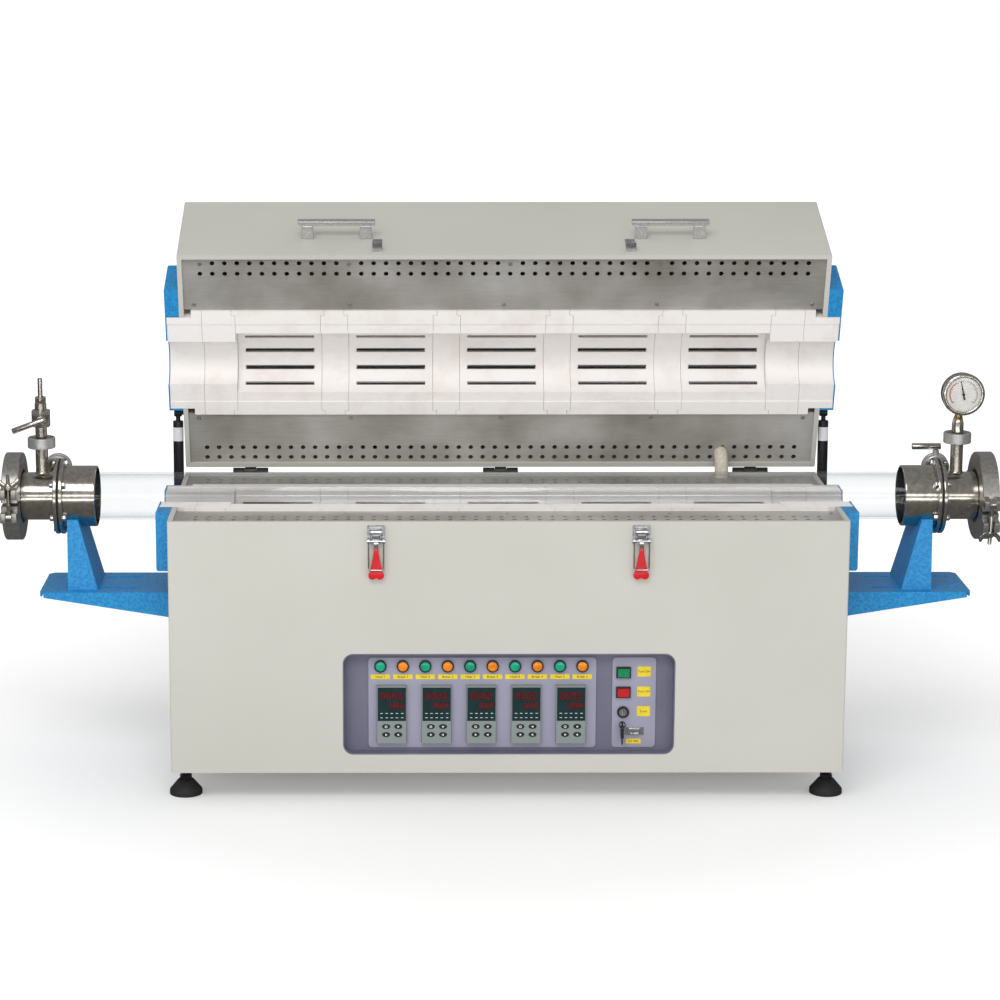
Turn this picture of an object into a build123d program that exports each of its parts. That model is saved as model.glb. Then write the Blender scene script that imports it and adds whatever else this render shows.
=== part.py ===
from build123d import *
from math import atan2, cos, degrees, hypot, radians, sin
import os

os.makedirs("parts", exist_ok=True)

# All lengths are in millimetres. X runs along the furnace tube, -Y faces the
# operator, +Z is up and Z = 0 is the floor under the four levelling feet.

# Casing
shell_length = 1100.0
shell_depth = 410.0
base_height = 420.5
lid_height = 212.0
ground_clearance = 50.0
parting_gap = 1.0
sheet = 2.0
rim_width = 8.0
rim_lip = 10.0
casing_corner = 3.0
lid_open_angle = 71.0
floor_flange = 14.0

# Hot chamber: fibre blocks in a steel trough, one heated module per zone
zone_count = 5
insulation_width = 200.0
insulation_depth = 104.0
chamber_radius = 57.0
land_width = 150.0
land_recess = 1.5
module_length = 144.5
spacer_length = 46.0
block_joint = 0.5
key_length = 6.5
key_width = 8.0
trough_sheet = 1.5
end_groove_radius = 41.0
end_joint = 512.0
neck_inset = 20.0
neck_width = 176.0
neck_depth = 93.0
slot_length = 119.0
slot_width = 7.5
slot_depth = 7.0
slot_count = 5
slot_spacing = 30.0
slot_turn = 4.0
coil_radius = 3.2
deck_recess = 5.0
deck_sheet = 1.5

# Blue heat-shield boxes over the block ends
cover_projection = 24.0
cover_front = 139.0
cover_rear = 92.0
cover_height = 97.0
cover_corner = 4.0
tube_port_radius = 43.0

# Work tube and its vacuum flanges
tube_diameter = 80.0
tube_wall = 3.5
tube_length = 1480.0
tube_offset = -9.0
sleeve_start = 673.0
sleeve_length = 54.0
sleeve_diameter = 102.0
sleeve_wall = 4.0
flange_diameter = 127.0
flange_thickness = 6.0
seal_thickness = 3.0
seal_diameter = 124.0
body_diameter = 80.0
body_wall = 3.5
body_length = 62.0
rim_diameter = 104.0
rim_thickness = 7.0
end_seal_gap = 1.5
end_seal_inset = 4.0
cap_thickness = 8.0
bolt_circle = 112.0
bolt_diameter = 6.0
bolt_head_diameter = 10.0
bolt_head_height = 6.0
bolt_count = 6

# Hinged clamp around each end cap
clamp_diameter = 147.0
clamp_thickness = 28.0
clamp_split = 4.0
lug_reach = 92.0
lug_height = 17.0
lug_gap = 22.0
lug_slot = 9.0
swing_bolt_diameter = 7.0
swing_bolt_length = 62.0
swing_pin_diameter = 6.0
wing_span = 38.0
clamp_tilt = 12.0

# Ports, valves and gauge
port_diameter = 21.0
port_wall = 2.0
port_position = 765.0
rear_port_position = 753.0
rear_port_reach = 115.0
rear_port_angle = 12.0
port_flange_diameter = 40.0
port_flange_thickness = 4.0
port_clamp_diameter = 46.0
port_clamp_height = 18.0
lever_diameter = 9.6
lever_length = 56.0
lever_drop = 20.0
lever_standoff = 30.0
nozzle_diameter = 8.0
nozzle_length = 29.0
gauge_diameter = 71.0
gauge_depth = 30.0
gauge_rise = 175.0
needle_lean = 12.0
needle_length = 23.0

# Tube supports on the side shelves
shelf_reach = 225.0
shelf_depth = 147.0
shelf_top = 322.0
shelf_lip_root = 44.0
shelf_lip_tip = 8.0
shelf_slot_length = 141.0
shelf_slot_width = 9.0
shelf_slot_spacing = 80.0
support_width = 116.0
support_top_width = 100.0
support_top_length = 18.0
support_root_length = 50.0
support_drop = 31.0

# Control recess and what it holds
recess_width = 541.0
recess_height = 170.0
recess_depth = 20.0
recess_corner = 17.0
recess_centre_x = 2.0
recess_centre_z = 166.0
panel_sheet = 2.0
main_panel_width = 372.0
main_panel_centre = -41.0
side_panel_width = 71.0
side_panel_centre = 207.0
panel_height = 152.0
panel_centre_z = 164.0
controller_width = 49.5
controller_height = 98.5
controller_pitch = 73.2
controller_bezel = 9.0
controller_body_width = 45.0
controller_body_height = 92.0
controller_body_depth = 70.0
controller_drop = 18.5
lamp_rise = 62.0
lamp_diameter = 20.5
lamp_lens_diameter = 16.8
lamp_barrel_diameter = 16.0
lamp_barrel_length = 28.0
button_width = 24.0
button_height = 19.0
button_frame = 2.2
button_rise = 51.0
button_spacing = 33.5
button_column = -17.5
lock_diameter = 19.5
lock_plug_diameter = 13.0
serial_width = 31.0
serial_height = 12.5
serial_drop = 48.5

# Latches
latch_spacing = 427.0
latch_pivot_drop = 15.5
latch_pivot_reach = 10.0
latch_plate_width = 29.0
latch_plate_height = 32.0
latch_throw = 14.6
latch_ear_width = 20.0
bail_wire = 3.0
bail_length = 47.5
bail_width = 24.4
bail_corner = 4.0
eye_half_width = 1.8
grip_length = 64.0
catch_width = 16.0
catch_height = 46.0

# Rear hinges, gas struts, handles, feet, rear fittings
hinge_standoff = 8.0
hinge_width = 61.0
hinge_pitch = 437.0
hinge_knuckle_radius = 6.4
hinge_pin_diameter = 6.0
hinge_leaf = 2.5
hinge_leaf_height = 40.0
strut_offset = 12.0
strut_diameter = 18.0
strut_rod_diameter = 8.0
strut_lid_back = 101.0
strut_lid_rise = 29.0
strut_base_back = 13.0
strut_base_drop = 126.0
strut_eye_diameter = 14.0
handle_length = 131.0
handle_spacing = 565.0
handle_standoff = 24.5
handle_thickness = 8.0
handle_depth = 12.0
handle_post = 20.0
handle_setback = 68.0
foot_spacing_x = 1060.0
foot_spacing_y = 310.0
foot_diameter = 54.0
foot_height = 25.0
foot_pad = 8.0
foot_stud_diameter = 12.0
rear_panel_width = 1030.0
rear_panel_height = 300.0
sleeving_diameter = 24.0
sleeving_x = 384.0

# Round parts are drawn with this many flats, all but the tube, pins and bores
flange_sides = 36
fine_sides = 12
pin_sides = 8

# Clearances
running_fit = 0.05
face_gap = 0.3
seat_gap = 0.2

# Places that follow from the sizes above
base_top = ground_clearance + base_height
parting = base_top + parting_gap / 2
lid_underside = base_top + parting_gap
front_face = -shell_depth / 2
rear_face = shell_depth / 2
side_face = shell_length / 2
hinge_y = rear_face + hinge_standoff
hinge_line = Axis((0, hinge_y, parting), (1, 0, 0))
parting_plane = Plane.XY.offset(parting)
module_pitch = module_length + spacer_length + 2 * block_joint
module_centres = [(i - (zone_count - 1) / 2) * module_pitch for i in range(zone_count)]
spacer_centres = [x + module_pitch / 2 for x in module_centres[:-1]]
chamber_half = module_centres[-1] + module_length / 2
deck_top = base_top - deck_recess
trough_half = insulation_width / 2 + trough_sheet
deck_edge = shell_depth / 2 - rim_width
neck_end = side_face + cover_projection - sheet - face_gap


def opened(piece):
    """Turn a piece modelled with the lid shut to where it sits with the lid open."""
    return piece.rotate(hinge_line, -lid_open_angle)


def opened_point(y, z):
    """Give the open place (y, z) of a point of the shut lid."""
    angle = radians(lid_open_angle)
    dy = y - hinge_y
    dz = z - parting
    new_y = hinge_y + dy * cos(angle) + dz * sin(angle)
    new_z = parting - dy * sin(angle) + dz * cos(angle)
    return new_y, new_z


def block(x_low, x_high, width, depth, mode=Mode.ADD):
    """A bar along X whose top lies in the base rim plane."""
    with BuildSketch(Plane.YZ.offset(x_low)) as profile:
        with Locations((0, base_top)):
            Rectangle(width, depth, align=(Align.CENTER, Align.MAX))
    extrude(profile.sketch, amount=x_high - x_low, mode=mode)


def round_section(radius, sides, mode=Mode.ADD):
    """A circle, or on a small part a polygon: inside the circle, or round it for a hole."""
    if sides:
        RegularPolygon(radius, sides, major_radius=mode != Mode.SUBTRACT, mode=mode)
    else:
        Circle(radius, mode=mode)


def rod(start, direction, radius, length, mode=Mode.ADD, sides=0):
    """A round bar, or a round hole, from a point along a direction."""
    with BuildSketch(Plane(origin=start, z_dir=direction)) as profile:
        if sides:
            RegularPolygon(radius, sides, major_radius=mode != Mode.SUBTRACT)
        else:
            Circle(radius)
    extrude(profile.sketch, amount=length, mode=mode)


def ring(start, direction, outer, inner, length, sides=0):
    """A round tube from a point along a direction."""
    with BuildSketch(Plane(origin=start, z_dir=direction)) as profile:
        round_section(outer, sides)
        round_section(inner, sides, Mode.SUBTRACT)
    extrude(profile.sketch, amount=length)


# ---------------------------------------------------------------- casing
# Folded sheet with a rim turned in round the top; the rear has a service
# opening, the front a window for the controls, the sides a notch for the blocks.
with BuildPart() as base_shell:
    with BuildSketch(Plane.XY.offset(ground_clearance)):
        RectangleRounded(shell_length, shell_depth, casing_corner)
    extrude(amount=base_height)
    with BuildSketch(Plane.XY.offset(ground_clearance)):
        Rectangle(shell_length - 2 * sheet, shell_depth - 2 * sheet)
    extrude(amount=base_height - sheet, mode=Mode.SUBTRACT)
    with BuildSketch(Plane.XY.offset(base_top)):
        Rectangle(shell_length - 2 * rim_width, shell_depth - 2 * rim_width)
    extrude(amount=-sheet, mode=Mode.SUBTRACT)
    with BuildSketch(Plane.XY.offset(base_top - sheet)):
        Rectangle(
            shell_length - 2 * (rim_width - sheet), shell_depth - 2 * (rim_width - sheet)
        )
        Rectangle(
            shell_length - 2 * rim_width, shell_depth - 2 * rim_width, mode=Mode.SUBTRACT
        )
    extrude(amount=-rim_lip)
    block(-side_face, side_face, neck_width + 2 * face_gap, neck_depth + face_gap, Mode.SUBTRACT)
    with BuildSketch(Plane.XZ.offset(-front_face - sheet)):
        with Locations((recess_centre_x, recess_centre_z)):
            RectangleRounded(recess_width, recess_height, recess_corner)
    extrude(amount=sheet, mode=Mode.SUBTRACT)
    with BuildSketch(Plane.XZ.offset(-rear_face)):
        with Locations((0, ground_clearance + base_height / 2)):
            Rectangle(
                rear_panel_width - 2 * floor_flange, rear_panel_height - 2 * floor_flange
            )
    extrude(amount=sheet, mode=Mode.SUBTRACT)
base_shell.part.label = "base_shell"
export_step(base_shell.part, "parts/base_shell.step")

# Floor of the base, a plate let in between the walls, with a hole for each foot.
with BuildPart() as base_floor_pan:
    with BuildSketch(Plane.XY.offset(ground_clearance)):
        Rectangle(shell_length - 2 * sheet, shell_depth - 2 * sheet)
        with GridLocations(foot_spacing_x, foot_spacing_y, 2, 2):
            round_section(foot_stud_diameter / 2 + face_gap, pin_sides, Mode.SUBTRACT)
    extrude(amount=sheet)
base_floor_pan.part.label = "base_floor_pan"
export_step(base_floor_pan.part, "parts/base_floor_pan.step")

# Service panel screwed over the rear opening, with two fields of vent slots and
# the gland where the supply enters.
vent_slot_length = 90.0
vent_slot_height = 6.0
vent_columns = 2
vent_rows = 5
vent_pitch = 15.0
vent_field = 340.0
gland_diameter = 22.0
gland_from_end = 75.0
gland_from_edge = 25.0
gland_x = rear_panel_width / 2 - gland_from_end
gland_z = ground_clearance + (base_height - rear_panel_height) / 2 + gland_from_edge
with BuildPart() as base_rear_panel:
    with BuildSketch(Plane.XZ.offset(-rear_face)):
        with Locations((0, ground_clearance + base_height / 2)):
            Rectangle(rear_panel_width, rear_panel_height)
            for side in (-1, 1):
                with Locations((side * vent_field, 0)):
                    with GridLocations(vent_slot_length * 1.2, vent_pitch, vent_columns, vent_rows):
                        Rectangle(vent_slot_length, vent_slot_height, mode=Mode.SUBTRACT)
        with Locations((gland_x, gland_z)):
            round_section(gland_diameter / 2 - 3, pin_sides, Mode.SUBTRACT)
    extrude(amount=-trough_sheet)
    with BuildSketch(Plane.XZ.offset(-rear_face - trough_sheet)):
        with Locations((gland_x, gland_z)):
            RegularPolygon(gland_diameter / 2 + 2, 6)
    extrude(amount=-6)
    with BuildSketch(Plane.XZ.offset(-rear_face - trough_sheet - 6)):
        with Locations((gland_x, gland_z)):
            RegularPolygon(gland_diameter / 2, fine_sides)
    extrude(amount=-14, taper=8)
base_rear_panel.part.label = "base_rear_panel"
export_step(base_rear_panel.part, "parts/base_rear_panel.step")

# The lid is the same construction turned over, shallower and closed on top.
with BuildPart() as lid_shell:
    with BuildSketch(Plane.XY.offset(lid_underside)):
        RectangleRounded(shell_length, shell_depth, casing_corner)
    extrude(amount=lid_height)
    with BuildSketch(Plane.XY.offset(lid_underside + sheet)):
        Rectangle(shell_length - 2 * sheet, shell_depth - 2 * sheet)
    extrude(amount=lid_height - 2 * sheet, mode=Mode.SUBTRACT)
    with BuildSketch(Plane.XY.offset(lid_underside)):
        Rectangle(shell_length - 2 * rim_width, shell_depth - 2 * rim_width)
    extrude(amount=sheet, mode=Mode.SUBTRACT)
    with BuildSketch(Plane.XY.offset(lid_underside + sheet)):
        Rectangle(
            shell_length - 2 * (rim_width - sheet), shell_depth - 2 * (rim_width - sheet)
        )
        Rectangle(
            shell_length - 2 * rim_width, shell_depth - 2 * rim_width, mode=Mode.SUBTRACT
        )
    extrude(amount=rim_lip)
    with BuildSketch(Plane.YZ.offset(-side_face)):
        with Locations((0, lid_underside)):
            Rectangle(
                neck_width + 2 * face_gap,
                neck_depth + face_gap,
                align=(Align.CENTER, Align.MIN),
            )
    extrude(amount=shell_length, mode=Mode.SUBTRACT)
lid_shell.part = opened(lid_shell.part)
lid_shell.part.label = "lid_shell"
export_step(lid_shell.part, "parts/lid_shell.step")

# ---------------------------------------------------------------- chamber
# Trough that carries the fibre blocks, on two stands from the floor.
stand_width = 150.0
stand_place = 300.0
stand_foot = 40.0
trough_bottom = base_top - insulation_depth - trough_sheet
trough_half_length = side_face - rim_width - face_gap
with BuildPart() as base_trough:
    with BuildSketch(Plane.YZ.offset(-trough_half_length)):
        with Locations((0, trough_bottom)):
            Rectangle(
                2 * trough_half, deck_top - trough_bottom, align=(Align.CENTER, Align.MIN)
            )
        with Locations((0, trough_bottom + trough_sheet)):
            Rectangle(
                insulation_width,
                deck_top - trough_bottom,
                align=(Align.CENTER, Align.MIN),
                mode=Mode.SUBTRACT,
            )
    extrude(amount=2 * trough_half_length)
    with BuildSketch(Plane.XY.offset(trough_bottom)):
        with Locations(*[(x, 14) for x in module_centres]):
            RegularPolygon(4, 6)
    extrude(amount=trough_sheet, mode=Mode.SUBTRACT)
with BuildPart() as trough_stands:
    for side in (-1, 1):
        with BuildSketch(Plane.XY.offset(ground_clearance + sheet)) as stand:
            with Locations((side * stand_place, 0)):
                Rectangle(stand_foot, stand_width)
                with Locations((side * sheet, 0)):
                    Rectangle(stand_foot, stand_width - 2 * sheet, mode=Mode.SUBTRACT)
        extrude(amount=trough_bottom - ground_clearance - sheet)
base_trough.part = Part() + [base_trough.part, trough_stands.part]
base_trough.part.label = "base_trough"
export_step(base_trough.part, "parts/base_trough.step")


def lining_section(radius, width=insulation_width, depth=insulation_depth):
    """Section of the fibre lining under the parting plane, seen along X."""
    with Locations((0, base_top)):
        Rectangle(width, depth, align=(Align.CENTER, Align.MAX))
        Rectangle(land_width, 2 * land_recess, mode=Mode.SUBTRACT)
    with Locations((0, parting)):
        Circle(radius, mode=Mode.SUBTRACT)


def key_section(width):
    """Section of the two stepped edges by which neighbouring blocks interlock."""
    with Locations((0, base_top)):
        Rectangle(insulation_width, insulation_depth, align=(Align.CENTER, Align.MAX))
        Rectangle(
            insulation_width - 2 * width,
            2 * insulation_depth,
            mode=Mode.SUBTRACT,
        )


def slot_plane(x, angle, depth):
    """Plane on the chamber wall, square to a radius, at a depth from the bore."""
    a = radians(angle)
    radius = chamber_radius + depth
    return Plane(
        origin=(x, radius * sin(a), parting - radius * cos(a)),
        x_dir=(1, 0, 0),
        z_dir=(0, sin(a), -cos(a)),
    )


slot_angles = [
    (i - (slot_count - 1) / 2) * slot_spacing + slot_turn for i in range(slot_count)
]
thermocouple_y = 14.0
thermocouple_diameter = 6.0
thermocouple_hole = thermocouple_diameter + 1.0

# Heated modules: a half bore with five slots along it for the wire coils.
with BuildPart() as base_heater_modules:
    for x in module_centres:
        with BuildSketch(Plane.YZ.offset(x - module_length / 2)):
            lining_section(chamber_radius)
        extrude(amount=module_length)
        with BuildSketch(Plane.YZ.offset(x - module_length / 2 - key_length)):
            key_section(key_width)
        extrude(amount=module_length + 2 * key_length)
        for angle in slot_angles:
            with BuildSketch(slot_plane(x, angle, -2)):
                Rectangle(slot_length, slot_width)
            extrude(amount=slot_depth + 2, mode=Mode.SUBTRACT)
blank_modules = base_heater_modules.part
with BuildPart() as base_heater_modules:
    add(blank_modules)
    with BuildSketch(Plane.XY.offset(base_top - insulation_depth)):
        with Locations(*[(x, thermocouple_y) for x in module_centres]):
            RegularPolygon(thermocouple_hole / 2, 6, major_radius=False)
    extrude(amount=insulation_depth, mode=Mode.SUBTRACT)
base_heater_modules.part.label = "base_heater_modules"
export_step(base_heater_modules.part, "parts/base_heater_modules.step")

# Plain fibre blocks: a spacer between modules, then an inner and an outer end
# block whose narrow neck passes out through the casing wall.
with BuildPart() as base_insulation_blocks:
    for x in spacer_centres:
        with BuildSketch(Plane.YZ.offset(x - spacer_length / 2)):
            lining_section(chamber_radius)
        extrude(amount=spacer_length)
    for side in (-1, 1):
        with BuildSketch(Plane.YZ.offset(side * (chamber_half + block_joint))):
            lining_section(end_groove_radius)
        extrude(amount=side * (end_joint - chamber_half - block_joint))
        with BuildSketch(Plane.YZ.offset(side * (end_joint + block_joint))):
            lining_section(end_groove_radius)
        extrude(amount=side * (side_face - neck_inset - end_joint - block_joint))
        with BuildSketch(Plane.YZ.offset(side * (side_face - neck_inset))):
            lining_section(end_groove_radius, neck_width, neck_depth)
        extrude(amount=side * (neck_end - side_face + neck_inset))
    for x in module_centres:
        with BuildSketch(Plane.YZ.offset(x - module_length / 2 - key_length - block_joint)):
            key_section(key_width + block_joint)
        extrude(amount=module_length + 2 * (key_length + block_joint), mode=Mode.SUBTRACT)
base_insulation_blocks.part.label = "base_insulation_blocks"
export_step(base_insulation_blocks.part, "parts/base_insulation_blocks.step")

# One resistance coil lies in each slot; only its envelope is drawn.
coil_gap = 1.0
with BuildPart() as base_heating_coils:
    for x in module_centres:
        for angle in slot_angles:
            a = radians(angle)
            radius = chamber_radius + slot_depth - coil_radius - seat_gap
            start = (
                x - slot_length / 2 + coil_gap,
                radius * sin(a),
                parting - radius * cos(a),
            )
            with BuildSketch(
                Plane(origin=start, x_dir=(0, sin(a), -cos(a)), z_dir=(1, 0, 0))
            ):
                RegularPolygon(coil_radius, 4)
            extrude(amount=slot_length - 2 * coil_gap)
base_heating_coils.part.label = "base_heating_coils"
export_step(base_heating_coils.part, "parts/base_heating_coils.step")

# The lid holds the same lining turned over.
lid_heater_modules = opened(mirror(blank_modules, about=parting_plane))
lid_heater_modules.label = "lid_heater_modules"
export_step(lid_heater_modules, "parts/lid_heater_modules.step")
lid_insulation_blocks = opened(mirror(base_insulation_blocks.part, about=parting_plane))
lid_insulation_blocks.label = "lid_insulation_blocks"
export_step(lid_insulation_blocks, "parts/lid_insulation_blocks.step")
lid_heating_coils = opened(mirror(base_heating_coils.part, about=parting_plane))
lid_heating_coils.label = "lid_heating_coils"
export_step(lid_heating_coils, "parts/lid_heating_coils.step")

# Thermocouples reach up through the trough and the lining into the chamber.
thermocouple_rise = 3.0
thermocouple_head = 16.0
thermocouple_head_height = 22.0
with BuildPart() as thermocouples:
    for x in module_centres:
        tip = parting - chamber_radius + thermocouple_rise
        rod(
            (x, thermocouple_y, trough_bottom),
            (0, 0, 1),
            thermocouple_diameter / 2,
            tip - trough_bottom,
            sides=6,
        )
        rod(
            (x, thermocouple_y, trough_bottom - thermocouple_head_height),
            (0, 0, 1),
            thermocouple_head / 2,
            thermocouple_head_height,
            sides=pin_sides,
        )
thermocouples.part.label = "thermocouples"
export_step(thermocouples.part, "parts/thermocouples.step")

# ---------------------------------------------------------------- deck sheets
# Stainless sheets close the space between trough and rim, one before and one
# behind the trough, in the base and again in the lid.
deck_width = deck_edge - trough_half
deck_middle = (deck_edge + trough_half) / 2
deck_length = shell_length - 2 * rim_width
sleeving_y = 185.0
sleeving_lid_y = 180.0
sleeving_hole = sleeving_diameter + 2.0
with BuildPart() as deck_sheets:
    with BuildSketch(Plane.XY.offset(deck_top - deck_sheet)):
        with Locations((0, -deck_middle), (0, deck_middle)):
            Rectangle(deck_length, deck_width)
        with Locations((sleeving_x, sleeving_y)):
            Rectangle(sleeving_hole, sleeving_hole, mode=Mode.SUBTRACT)
    extrude(amount=deck_sheet)
deck_sheets.part.label = "deck_sheets"
export_step(deck_sheets.part, "parts/deck_sheets.step")

# The lid has its own trough, in one piece with its two sheets.
lid_sheet_bottom = lid_underside + deck_recess
lid_trough_top = lid_underside + insulation_depth
with BuildPart() as lid_sheets:
    with BuildSketch(Plane.XY.offset(lid_sheet_bottom)):
        with Locations((0, -deck_middle), (0, deck_middle)):
            Rectangle(deck_length, deck_width)
        with Locations((sleeving_x, sleeving_lid_y)):
            Rectangle(sleeving_hole, sleeving_hole, mode=Mode.SUBTRACT)
    extrude(amount=deck_sheet)
    with BuildSketch(Plane.YZ.offset(-trough_half_length)):
        with Locations((0, lid_sheet_bottom)):
            Rectangle(
                2 * trough_half,
                lid_trough_top + trough_sheet - lid_sheet_bottom,
                align=(Align.CENTER, Align.MIN),
            )
            Rectangle(
                insulation_width,
                lid_trough_top - lid_sheet_bottom,
                align=(Align.CENTER, Align.MIN),
                mode=Mode.SUBTRACT,
            )
    extrude(amount=2 * trough_half_length)
lid_sheets.part = opened(lid_sheets.part)
lid_sheets.part.label = "lid_sheets"
export_step(lid_sheets.part, "parts/lid_sheets.step")


# ---------------------------------------------------------------- end covers
def cover_profile(inset):
    """Outline of an end cover seen from the front, rounded at its outer corner."""
    with Locations((side_face, base_top)):
        outline = Rectangle(
            cover_projection - inset,
            cover_height - inset,
            align=(Align.MIN, Align.MAX),
        )
    corner = outline.vertices().group_by(Axis.Y)[0].sort_by(Axis.X)[-1]
    fillet(corner, cover_corner - inset)


with BuildPart() as base_end_covers:
    with BuildSketch(Plane.XZ.offset(cover_front)) as outer_outline:
        cover_profile(0)
    extrude(amount=-(cover_front + cover_rear))
    with BuildSketch(Plane.XZ.offset(cover_front - sheet)):
        cover_profile(sheet)
    extrude(amount=-(cover_front + cover_rear - 2 * sheet), mode=Mode.SUBTRACT)
    with BuildSketch(Plane.XY.offset(base_top)):
        with Locations((side_face, 0)):
            for edge in (-1, 1):
                reach = cover_front if edge < 0 else cover_rear
                with Locations((0, edge * (neck_width / 2 + face_gap))):
                    Rectangle(
                        cover_projection - sheet,
                        reach - sheet - neck_width / 2 - face_gap,
                        align=(Align.MIN, Align.MAX if edge < 0 else Align.MIN),
                    )
    extrude(amount=-sheet)
    with BuildSketch(Plane.YZ.offset(side_face + cover_projection)):
        with Locations((0, parting)):
            Circle(tube_port_radius)
    extrude(amount=-cover_projection, mode=Mode.SUBTRACT)
    mirror(about=Plane.YZ)
base_end_covers.part.label = "base_end_covers"
export_step(base_end_covers.part, "parts/base_end_covers.step")
lid_end_covers = opened(mirror(base_end_covers.part, about=parting_plane))
lid_end_covers.label = "lid_end_covers"
export_step(lid_end_covers, "parts/lid_end_covers.step")

# ---------------------------------------------------------------- control recess
# A shallow pan let into the front carries two plates; everything on them
# passes through the pan's back.
recess_back = front_face + recess_depth
plate_face = recess_back - panel_sheet
back_margin = 5.0
with BuildPart() as control_recess:
    with BuildSketch(Plane.XZ.offset(-front_face)):
        with Locations((recess_centre_x, recess_centre_z)):
            RectangleRounded(
                recess_width - 2 * seat_gap,
                recess_height - 2 * seat_gap,
                recess_corner - seat_gap,
            )
    extrude(amount=-(recess_depth + sheet))
    with BuildSketch(Plane.XZ.offset(-front_face)):
        with Locations((recess_centre_x, recess_centre_z)):
            RectangleRounded(
                recess_width - 2 * sheet,
                recess_height - 2 * sheet,
                recess_corner - sheet,
            )
    extrude(amount=-recess_depth, mode=Mode.SUBTRACT)
    with BuildSketch(Plane.XZ.offset(-recess_back)):
        with Locations((main_panel_centre, panel_centre_z)):
            Rectangle(main_panel_width - 2 * back_margin, panel_height - 2 * back_margin)
        with Locations((side_panel_centre, panel_centre_z)):
            Rectangle(side_panel_width - 2 * back_margin, panel_height - 2 * back_margin)
    extrude(amount=-sheet, mode=Mode.SUBTRACT)
control_recess.part.label = "control_recess"
export_step(control_recess.part, "parts/control_recess.step")

row_shift = -1.6
row_centre = main_panel_centre + row_shift
controller_xs = [
    row_centre + (i - (zone_count - 1) / 2) * controller_pitch for i in range(zone_count)
]
controller_z = panel_centre_z - controller_drop
lamp_pitch = controller_pitch / 2
lamp_z = panel_centre_z + lamp_rise
green_xs = [x - lamp_pitch / 2 for x in controller_xs]
amber_xs = [x + lamp_pitch / 2 for x in controller_xs]
button_x = side_panel_centre + button_column
green_button_z = panel_centre_z + button_rise
red_button_z = green_button_z - button_spacing
lock_z = red_button_z - button_spacing
serial_x = side_panel_centre + 1.4
serial_z = panel_centre_z - serial_drop
button_housing = 17.0
lock_barrel = 16.0
plate_corner = 6.0
with BuildPart() as panel_plates:
    with BuildSketch(Plane.XZ.offset(-plate_face)):
        with Locations((main_panel_centre, panel_centre_z)):
            RectangleRounded(main_panel_width, panel_height, plate_corner)
        with Locations((side_panel_centre, panel_centre_z)):
            RectangleRounded(side_panel_width, panel_height, plate_corner)
        with Locations(*[(x, controller_z) for x in controller_xs]):
            Rectangle(
                controller_body_width + 2 * seat_gap,
                controller_body_height + 2 * seat_gap,
                mode=Mode.SUBTRACT,
            )
        with Locations(*[(x, lamp_z) for x in green_xs + amber_xs]):
            round_section(lamp_barrel_diameter / 2 + seat_gap, pin_sides, Mode.SUBTRACT)
        with Locations((button_x, green_button_z), (button_x, red_button_z)):
            Rectangle(
                button_width - 2 * button_frame + 2 + 2 * seat_gap,
                button_height - 2 * button_frame + 2 + 2 * seat_gap,
                mode=Mode.SUBTRACT,
            )
        with Locations((button_x, lock_z)):
            round_section(lock_barrel / 2 + seat_gap, pin_sides, Mode.SUBTRACT)
        with Locations((serial_x, serial_z)):
            Rectangle(serial_width * 0.6, serial_height * 0.8, mode=Mode.SUBTRACT)
    extrude(amount=-panel_sheet)
panel_plates.part.label = "panel_plates"
export_step(panel_plates.part, "parts/panel_plates.step")

# Panel controllers: a bevelled bezel in front, the case behind the plate.
with BuildPart() as temperature_controllers:
    for x in controller_xs:
        with BuildSketch(Plane.XZ.offset(-plate_face)):
            with Locations((x, controller_z)):
                Rectangle(controller_width, controller_height)
        extrude(amount=controller_bezel, taper=6)
        with BuildSketch(Plane.XZ.offset(-plate_face)):
            with Locations((x, controller_z)):
                Rectangle(controller_body_width, controller_body_height)
        extrude(amount=-controller_body_depth)
temperature_controllers.part.label = "temperature_controllers"
export_step(temperature_controllers.part, "parts/temperature_controllers.step")

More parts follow.
